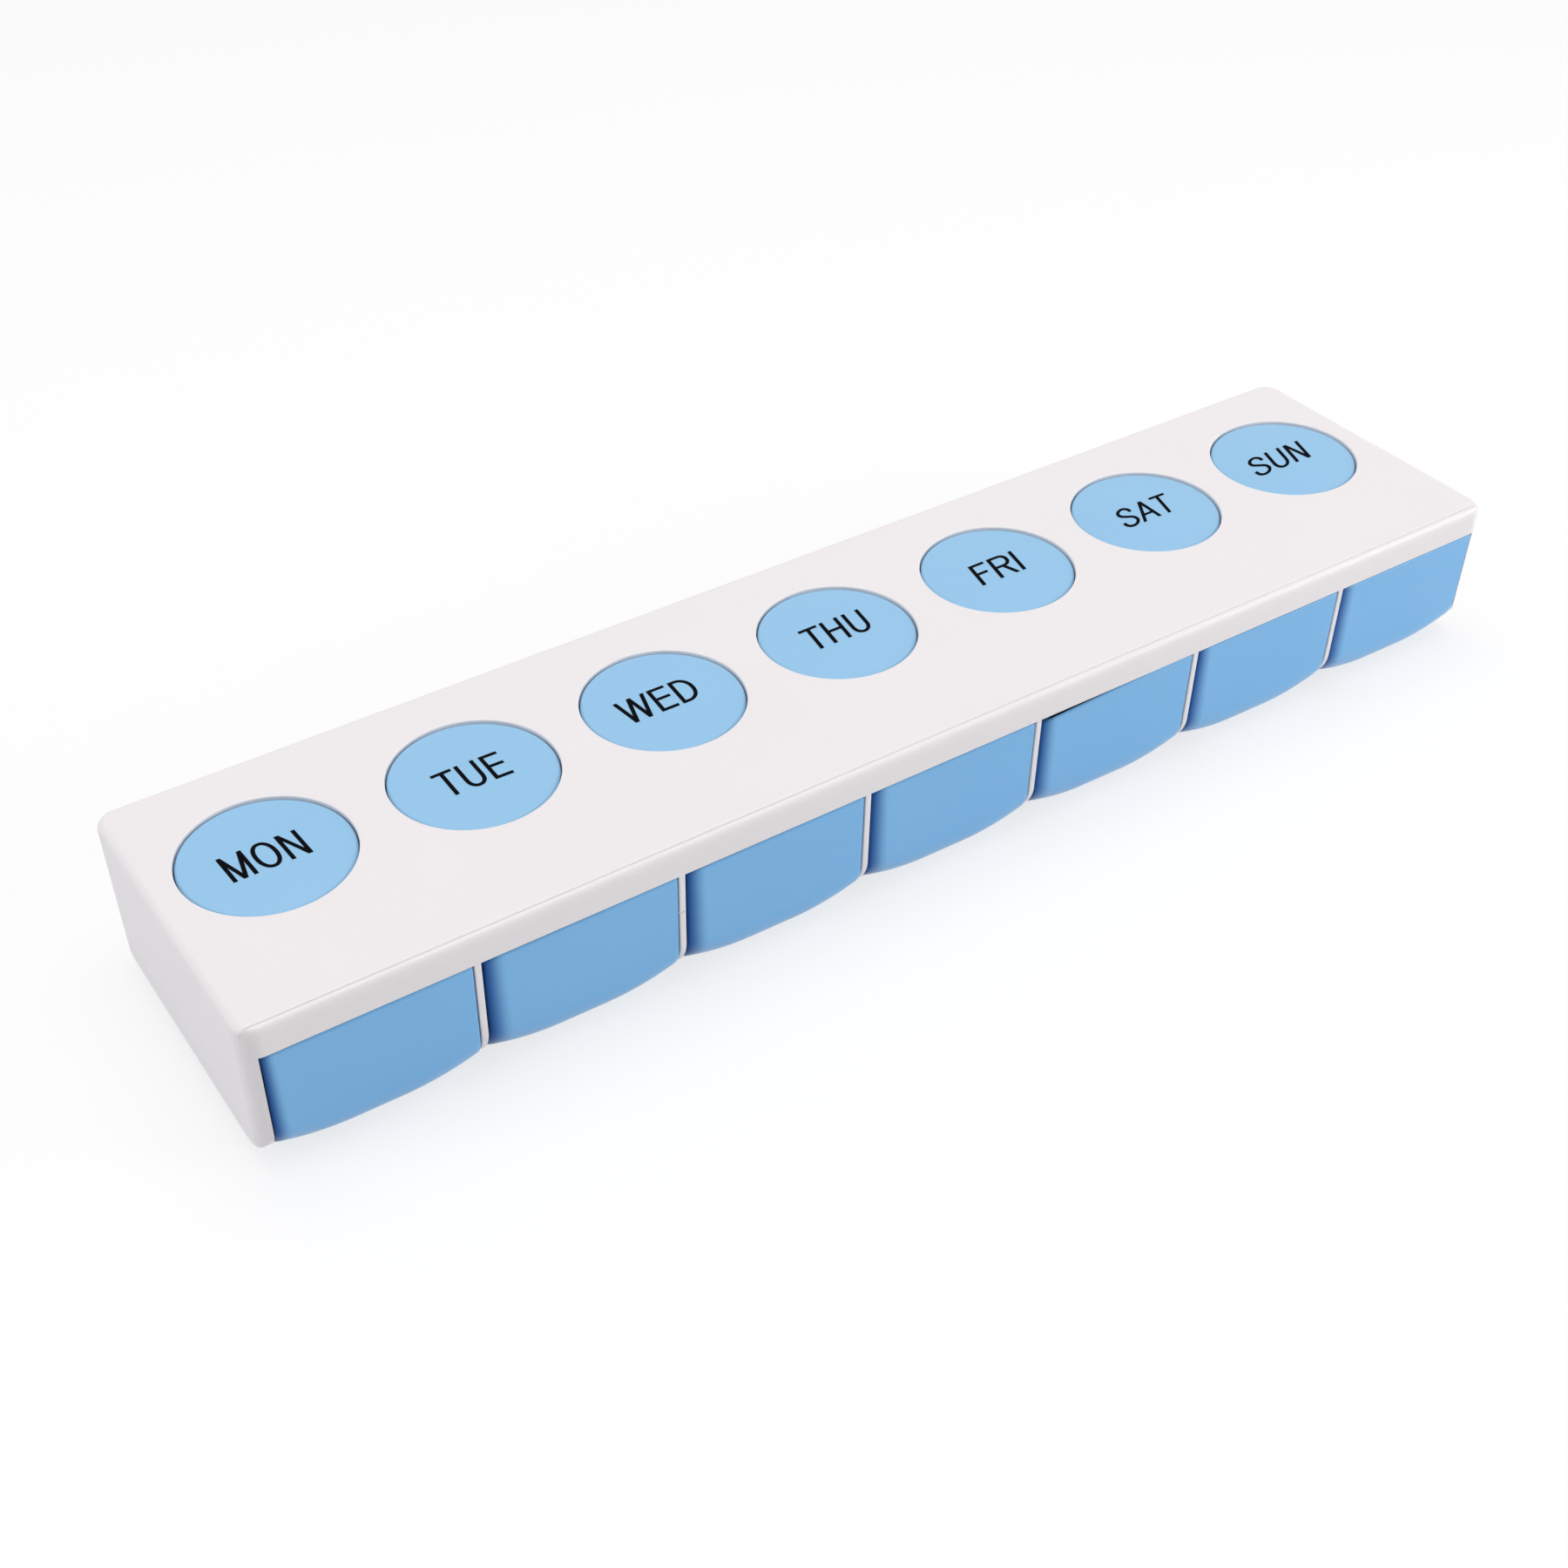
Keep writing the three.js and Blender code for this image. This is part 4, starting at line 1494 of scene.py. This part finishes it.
class Graph:
    """A node tree that is filled by calling one method."""

    def __init__(self, tree: bpy.types.NodeTree) -> None:
        """Empties the tree."""
        self.tree = tree
        tree.nodes.clear()

    def node(
        self, kind: str, inputs: dict | None = None, output: int | str = 0, **settings: object
    ) -> Value:
        """Adds any node.

        Args:
            kind: The node's type.
            inputs: Values for its inputs by name or number: numbers, colours or other sockets.
            output: Which of its outputs to return.
            **settings: Properties of the node.

        Returns:
            The chosen output.
        """
        node = self.tree.nodes.new(kind)
        for name, value in settings.items():
            setattr(node, name, value)
        for key, value in (inputs or {}).items():
            socket = node.inputs[key]
            if isinstance(value, Value):
                self.tree.links.new(value.socket, socket)
            else:
                socket.default_value = value
        if not node.outputs:
            return Value(self, None)
        return Value(self, node.outputs[output])

    def mix(self, factor: Value | float, first: Value | Colour, second: Value | Colour) -> Value:
        """A colour between two others.

        Args:
            factor: 0 for the first colour and 1 for the second.
            first: The first colour.
            second: The second colour.

        Returns:
            The mixture.
        """
        first, second = (c if isinstance(c, Value) else (*c, 1.0) for c in (first, second))
        inputs = {0: factor, 6: first, 7: second}
        return self.node("ShaderNodeMix", inputs, output=2, data_type="RGBA")

    def fade(self, value: Value) -> Value:
        """A value from 0 to 1 with soft ends, held there beyond them."""
        return self.node("ShaderNodeMapRange", {"Value": value}, interpolation_type="SMOOTHSTEP")

    def seen(self) -> Value:
        """1 for what the camera sees, also in shiny surfaces, and 0 for what only lights.

        Returns:
            The value.
        """
        straight, mirrored, through = (
            self.node("ShaderNodeLightPath", output=kind)
            for kind in ("Is Camera Ray", "Is Glossy Ray", "Is Transmission Ray")
        )
        return straight.at_least(mirrored).at_least(through)

    def noise(
        self, place: Value, scale: float, detail: float, roughness: float = 0.5
    ) -> Value:
        """Smooth noise from 0 to 1."""
        inputs = {"Vector": place, "Scale": scale, "Detail": detail, "Roughness": roughness}
        return self.node("ShaderNodeTexNoise", inputs)


@dataclass(frozen=True)
class Finish:
    """What the surface of some pieces looks like."""

    name: str

    def surface(self, graph: Graph, place: Value) -> Value:
        """The shader. Each kind of finish has its own."""
        raise NotImplementedError

    def material(self) -> bpy.types.Material:
        """Builds the finish as a material.

        Returns:
            The material.
        """
        made = bpy.data.materials.new(self.name)
        made.use_nodes = True
        graph = Graph(made.node_tree)
        place = graph.node("ShaderNodeTexCoord", output="Object")
        graph.node("ShaderNodeOutputMaterial", {"Surface": self.surface(graph, place)})
        LOG.info("%s mixed", self.name)
        return made


@dataclass(frozen=True)
class Plastic(Finish):
    """A moulded plastic's finish."""

    colour: Colour
    shade: Colour
    roughness: float
    spread: float
    grain: float
    gloss: float = 0.5
    clouds: float = 1.6
    clouds_from: float = 0.35
    specks: float = 0.25
    swell: float = 2.5
    relief: float = 0.06 * MM

    def base(self, graph: Graph, place: Value) -> Value:
        """The colour, with the slight clouds of a moulding.

        Args:
            graph: The material's nodes.
            place: The place on the object.

        Returns:
            The colour.
        """
        cloud = graph.noise(place, scale=45.0, detail=4.0)
        fine = graph.noise(place, scale=900.0, detail=2.0, roughness=0.6)
        cloud = (cloud - self.clouds_from) * self.clouds
        return graph.mix(cloud + (fine - 0.5) * self.specks, self.colour, self.shade)

    def surface(self, graph: Graph, place: Value) -> Value:
        """Fine grained plastic with slight smears.

        Args:
            graph: The material's nodes.
            place: The place on the object.

        Returns:
            The shader.
        """
        smears = graph.noise(place, scale=130.0, detail=5.0, roughness=0.65)
        grain = graph.noise(place, scale=5200.0, detail=2.0)
        swell = graph.noise(place, scale=60.0, detail=1.0)
        height = grain + swell * self.swell
        relief = {"Strength": self.grain, "Distance": self.relief, "Height": height}
        return graph.node(
            "ShaderNodeBsdfPrincipled",
            {
                "Base Color": self.base(graph, place),
                "Roughness": (smears - 0.5) * self.spread + self.roughness,
                "Normal": graph.node("ShaderNodeBump", relief),
                "IOR": 1.5,
                "Specular IOR Level": self.gloss,
            },
        )


@dataclass(frozen=True)
class DrawerPlastic(Plastic):
    """The drawers' plastic, with painted shade along the left edge of each front, where the divider
    beside it shades it.
    """

    # Painted shade: deep is the shadow colour, and the reaches, widening and fading set where it
    # falls.
    deep: Colour = (0.0, 0.085, 0.33)
    first_reach: float = 1.7
    reach: float = 2.9
    widening: float = 0.035
    depth: float = 3.0
    fading: float = 9.0

    def base(self, graph: Graph, place: Value) -> Value:
        """The colour, with painted shade within reach of the left edge and near the front.

        Args:
            graph: The material's nodes.
            place: The place on the object.

        Returns:
            The colour.
        """
        f = FORM
        x, y, z = (
            graph.node("ShaderNodeSeparateXYZ", {"Vector": place}, output=axis.name) / MM
            for axis in Axis
        )
        left_side = f.pitch / 2 - f.drawer_half + SHIFT
        inward = (x / f.pitch + len(Day) / 2).fraction() * f.pitch - left_side
        first = x.below(f.divider_centres[0])
        reach = first * (self.first_reach - self.reach) + self.reach
        reach = reach + (f.lip_bottom - z) * self.widening
        # Painted shadow of the divider: dark at each left edge, clearing within reach and further
        # back.
        clear = graph.fade(inward / reach)
        behind = graph.fade((y - (f.front + self.depth)) / self.fading)
        return graph.mix(clear.at_least(behind), self.deep, super().base(graph, place))


@dataclass(frozen=True)
class Metal(Finish):
    """A steel part's finish."""

    colour: Colour
    roughness: float
    stained: float = 0.72
    spread: float = 0.15
    grain: float = 0.15
    relief: float = 0.03 * MM

    def surface(self, graph: Graph, place: Value) -> Value:
        """Drawn steel with stains and fine scratches.

        Args:
            graph: The material's nodes.
            place: The place on the object.

        Returns:
            The shader.
        """
        stains = graph.noise(place, scale=400.0, detail=4.0)
        scratches = graph.noise(place, scale=3500.0, detail=2.0)
        relief = {"Strength": self.grain, "Distance": self.relief, "Height": scratches}
        stain = tuple(c * self.stained for c in self.colour)
        return graph.node(
            "ShaderNodeBsdfPrincipled",
            {
                "Base Color": graph.mix(stains, self.colour, stain),
                "Metallic": 1.0,
                "Roughness": stains * self.spread + self.roughness,
                "Normal": graph.node("ShaderNodeBump", relief),
            },
        )


@dataclass(frozen=True)
class Ink(Finish):
    """Printed lettering."""

    colour: Colour
    worn: Colour
    roughness: float = 0.7
    spread: float = 0.2
    gloss: float = 0.03

    def surface(self, graph: Graph, place: Value) -> Value:
        """Dull ink that is a little thinner in places.

        Args:
            graph: The material's nodes.
            place: The place on the object.

        Returns:
            The shader.
        """
        wear = graph.noise(place, scale=1200.0, detail=4.0)
        return graph.node(
            "ShaderNodeBsdfPrincipled",
            {
                "Base Color": graph.mix(wear, self.colour, self.worn),
                "Roughness": wear * self.spread + self.roughness,
                "Specular IOR Level": self.gloss,
            },
        )


@dataclass(frozen=True)
class FloorPaper(Finish):
    """White paper that glows a little to the camera and still shows a shadow."""

    colour: Colour = (0.73, 0.73, 0.735)
    shade: Colour = (0.71, 0.71, 0.72)
    glow: float = 1.17
    glow_share: float = 0.62

    def surface(self, graph: Graph, place: Value) -> Value:
        """Dull paper with a glow laid over it.

        Args:
            graph: The material's nodes.
            place: The place on the object.

        Returns:
            The shader.
        """
        cloud = graph.noise(place, scale=3.0, detail=1.0)
        tint = graph.mix(cloud, self.colour, self.shade)
        paper = graph.node("ShaderNodeBsdfDiffuse", {"Color": tint})
        glow = graph.node("ShaderNodeEmission", {"Color": WHITE, "Strength": self.glow})
        inputs = {0: graph.seen() * self.glow_share, 1: paper, 2: glow}
        return graph.node("ShaderNodeMixShader", inputs)


CASE_WHITE = Plastic(
    "case_white",
    colour=(0.86, 0.82, 0.82),
    shade=(0.84, 0.80, 0.805),
    roughness=0.42,
    spread=0.12,
    grain=0.25,
)
BUTTON_BLUE = Plastic(
    "button_blue",
    colour=(0.29, 0.55, 0.80),
    shade=(0.275, 0.535, 0.785),
    roughness=0.40,
    spread=0.10,
    grain=0.3,
)
# Drawer blue with painted shade along the left edge of each front.
DRAWER_BLUE = DrawerPlastic(
    "drawer_blue",
    colour=(0.222, 0.512, 0.84),
    shade=(0.207, 0.492, 0.82),
    roughness=0.30,
    spread=0.10,
    grain=0.2,
    gloss=0.25,
)
DECK_GREY = Plastic(
    "deck_grey",
    colour=(0.62, 0.63, 0.65),
    shade=(0.58, 0.59, 0.62),
    roughness=0.5,
    spread=0.1,
    grain=0.3,
)
SPRING_STEEL = Metal("spring_steel", colour=(0.55, 0.56, 0.58), roughness=0.28)
SCREW_STEEL = Metal("screw_steel", colour=(0.60, 0.60, 0.61), roughness=0.32)
DAY_INK = Ink("day_ink", colour=(0.001, 0.001, 0.002), worn=(0.005, 0.005, 0.007))


@dataclass(frozen=True)
class Finishes:
    """Every material of the pill box."""

    white: bpy.types.Material = field(default_factory=CASE_WHITE.material)
    button: bpy.types.Material = field(default_factory=BUTTON_BLUE.material)
    drawer: bpy.types.Material = field(default_factory=DRAWER_BLUE.material)
    deck: bpy.types.Material = field(default_factory=DECK_GREY.material)
    spring: bpy.types.Material = field(default_factory=SPRING_STEEL.material)
    screw: bpy.types.Material = field(default_factory=SCREW_STEEL.material)
    ink: bpy.types.Material = field(default_factory=DAY_INK.material)


# Scene


COOL: Colour = (0.86, 0.92, 1.0)


@dataclass(frozen=True)
class SoftLight:
    """A rectangular light that points at a place."""

    name: str
    place: Place
    target: Place
    size: Point
    power: float
    colour: Colour = (1.0, 1.0, 1.0)

    def build(self) -> None:
        """Adds the light to the scene."""
        data = bpy.data.lights.new(self.name, "AREA")
        data.shape = "RECTANGLE"
        data.size, data.size_y = self.size
        data.energy = self.power
        data.color = self.colour
        light = bpy.data.objects.new(self.name, data)
        light.location = self.place
        aim = Vector(self.target) - Vector(self.place)
        light.rotation_mode = "QUATERNION"
        light.rotation_quaternion = aim.to_track_quat("-Z", "Y")
        light.visible_camera = False
        bpy.context.scene.collection.objects.link(light)


@dataclass(frozen=True)
class Studio:
    """The camera, the lights and the white surroundings."""

    lens: float = 49.4549
    sensor: float = 36.0
    clip: Point = (0.01, 10.0)
    camera_place: Place = (-0.154281, -0.212658, 0.208940)
    camera_turn: Place = (51.36597, 0.25311, -33.85618)
    lights: Sequence[SoftLight] = (
        SoftLight(
            "overhead",
            place=(0.05, 0.1, 0.8),
            target=(0.0, 0.0, 0.0),
            size=(0.8, 0.6),
            power=3.0,
        ),
        SoftLight(
            "left",
            place=(-0.72, 0.12, 0.36),
            target=(0.0, 0.0, 0.01),
            size=(0.35, 0.35),
            power=1.35,
            colour=COOL,
        ),
        SoftLight(
            "right",
            place=(0.6, -0.5, 0.22),
            target=(0.05, 0.0, 0.01),
            size=(0.4, 0.4),
            power=2.78,
        ),
    )
    surroundings: float = 0.47
    sky: Colour = (1.0, 0.985, 0.98)
    ground: Colour = (0.74, 0.77, 0.85)
    floor_size: float = 4.0
    floor_gap: float = 0.02 * MM

    def build(self) -> None:
        """Adds the camera, the lights, the floor and the world to the scene."""
        scene = bpy.context.scene
        scene.view_settings.view_transform = "Standard"
        scene.view_settings.look = "None"
        self.build_camera(scene)
        for light in self.lights:
            light.build()
        self.build_world(scene)
        self.build_floor(scene)

    def build_camera(self, scene: bpy.types.Scene) -> None:
        """A plain camera that stands where the photograph's stood.

        Args:
            scene: The scene that is lit and seen.
        """
        data = bpy.data.cameras.new("camera")
        data.lens = self.lens
        data.sensor_width = self.sensor
        data.clip_start, data.clip_end = self.clip
        camera = bpy.data.objects.new("camera", data)
        camera.location = self.camera_place
        camera.rotation_euler = tuple(math.radians(a) for a in self.camera_turn)
        scene.collection.objects.link(camera)
        scene.camera = camera

    def build_floor(self, scene: bpy.types.Scene) -> None:
        """A plain white floor that keeps a faint shadow.

        Args:
            scene: The scene that is lit and seen.
        """
        half = self.floor_size / 2
        outline = [(-half, -half, 0), (half, -half, 0), (half, half, 0), (-half, half, 0)]
        mesh = bpy.data.meshes.new("floor")
        mesh.from_pydata(outline, [], [(0, 1, 2, 3)])
        mesh.materials.append(FloorPaper("white floor").material())
        floor = bpy.data.objects.new("floor", mesh)
        floor.location.z = -self.floor_gap
        scene.collection.objects.link(floor)

    def build_world(self, scene: bpy.types.Scene) -> None:
        """White to the camera, and an even light that is weaker from below.

        Args:
            scene: The scene that is lit and seen.
        """
        world = bpy.data.worlds.new("white surroundings")
        scene.world = world
        world.use_nodes = True
        graph = Graph(world.node_tree)
        direction = graph.node("ShaderNodeTexCoord", output="Generated")
        height = graph.node("ShaderNodeSeparateXYZ", {"Vector": direction}, output="Z")
        tint = graph.mix(height * 0.5 + 0.5, self.ground, self.sky)
        lit = graph.node("ShaderNodeBackground", {"Color": tint, "Strength": self.surroundings})
        white = graph.node("ShaderNodeBackground", {"Color": WHITE, "Strength": 1.0})
        both = graph.node("ShaderNodeMixShader", {0: graph.seen(), 1: lit, 2: white})
        graph.node("ShaderNodeOutputWorld", {"Surface": both})


# Assembly


@dataclass(frozen=True)
class PillBox:
    """Builds every visible piece and ties all but the springs to the moving frame."""

    frame: dict
    finishes: Finishes
    form: Form = FORM
    soft_edge: float = 0.15
    button_spring: Coil = Coil(length=3.25, turns=2.5, radius_low=4.0, radius_high=3.0)
    button_spring_low: float = 20.3
    drawer_spring: Coil = Coil(length=7.0, turns=4.5, radius_low=2.0, radius_high=2.0)
    drawer_spring_front: float = 11.3
    drawer_sharp_from: float = 40.0

    def build_case(self) -> None:
        """The shell, the frame, the deck, the cover and the screws."""
        forms, white = CaseForms(self.form), self.finishes.white
        for node, solid in (
            ("top_shell", forms.top_shell()),
            ("divider_frame", forms.divider_frame()),
        ):
            Piece(f"{node}_skin", solid, white, "case_white", stands_for=[node]).ride()
        screw = ScrewForms(self.form).screw()
        for number, (x, y) in enumerate(self.form.screws, 1):
            Piece(
                f"case_screw_{number}_skin",
                screw.moved(x, y),
                self.finishes.screw,
                "screw_steel",
                stands_for=[f"case_screw_{number}"],
            ).ride()
        for name, material in (("spring_deck", self.finishes.deck), ("bottom_cover", white)):
            node = self.frame["nodes"][name]
            node.data.materials.clear()
            node.data.materials.append(material)
            bevel = node.modifiers.new("soft edges", "BEVEL")
            bevel.width = self.soft_edge * MM
            bevel.segments = 2
            LOG.info("%s dressed", name)

    def build_spring(self, node: str, solid: Solid, still: Place, moving: Place) -> None:
        """A spring coil, built in its place at rest and not tied to the moving piece.

        Args:
            node: The frame's node that it stands for.
            solid: The coil in its place at rest.
            still: Its end on the case; not used.
            moving: Its end on the body; not used.
        """
        coil = Piece(
            f"{node}_skin",
            solid,
            self.finishes.spring,
            "spring_steel",
            stands_for=[node],
            weighted=False,
        ).build()
        start, end = (tuple(v * MM for v in place) for place in (still, moving))
        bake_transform(coil)

    def build_buttons(self) -> None:
        """The buttons with their springs and day names."""
        forms, lettering = ButtonForms(self.form), Lettering()
        button, spring = forms.button(), self.button_spring.solid()
        y, low = self.form.button_y, self.button_spring_low
        high = low + self.button_spring.length
        for day, x in zip(Day, self.form.bay_centres):
            body = f"{day.key}_button"
            Piece(
                f"button_{day.key}_skin",
                button.moved(x),
                self.finishes.button,
                "button_blue",
                body,
                [f"button_{day.key}"],
            ).ride()
            Piece(
                f"day_name_{day.key}",
                lettering.mesh(day, forms, (x, y)),
                self.finishes.ink,
                "button_blue",
                body,
                weighted=False,
            ).ride()
            coil = spring.moved(x, y, low)
            self.build_spring(f"return_spring_{day.key}", coil, (x, y, low), (x, y, high))

    def build_drawers(self) -> None:
        """The drawers and the springs behind them. Their fronts sit a little askew."""
        lying = Matrix.Rotation(math.radians(-90), 4, "X")
        spring = self.drawer_spring.solid().placed(lying)
        z, front = self.form.spring_z, self.drawer_spring_front
        back = front + self.drawer_spring.length
        for day, x in zip(Day, self.form.bay_centres):
            body = f"{day.key}_drawer"
            Piece(
                f"drawer_{day.key}_skin",
                DrawerForms(self.form, SITS[day]).drawer().moved(x + SITS[day].shift),
                self.finishes.drawer,
                "drawer_blue",
                body,
                [f"drawer_{day.key}"],
                sharp_from=self.drawer_sharp_from,
            ).ride()
            coil = spring.moved(x, front, z)
            self.build_spring(f"ejector_spring_{day.key}", coil, (x, back, z), (x, front, z))


def main() -> None:
    """Builds the whole scene."""
    logging.basicConfig(level=logging.INFO, format="%(name)s: %(message)s")
    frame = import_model()
    box = PillBox(frame, Finishes())
    box.build_case()
    box.build_buttons()
    box.build_drawers()
    Studio().build()


if __name__ == "__main__":
    main()
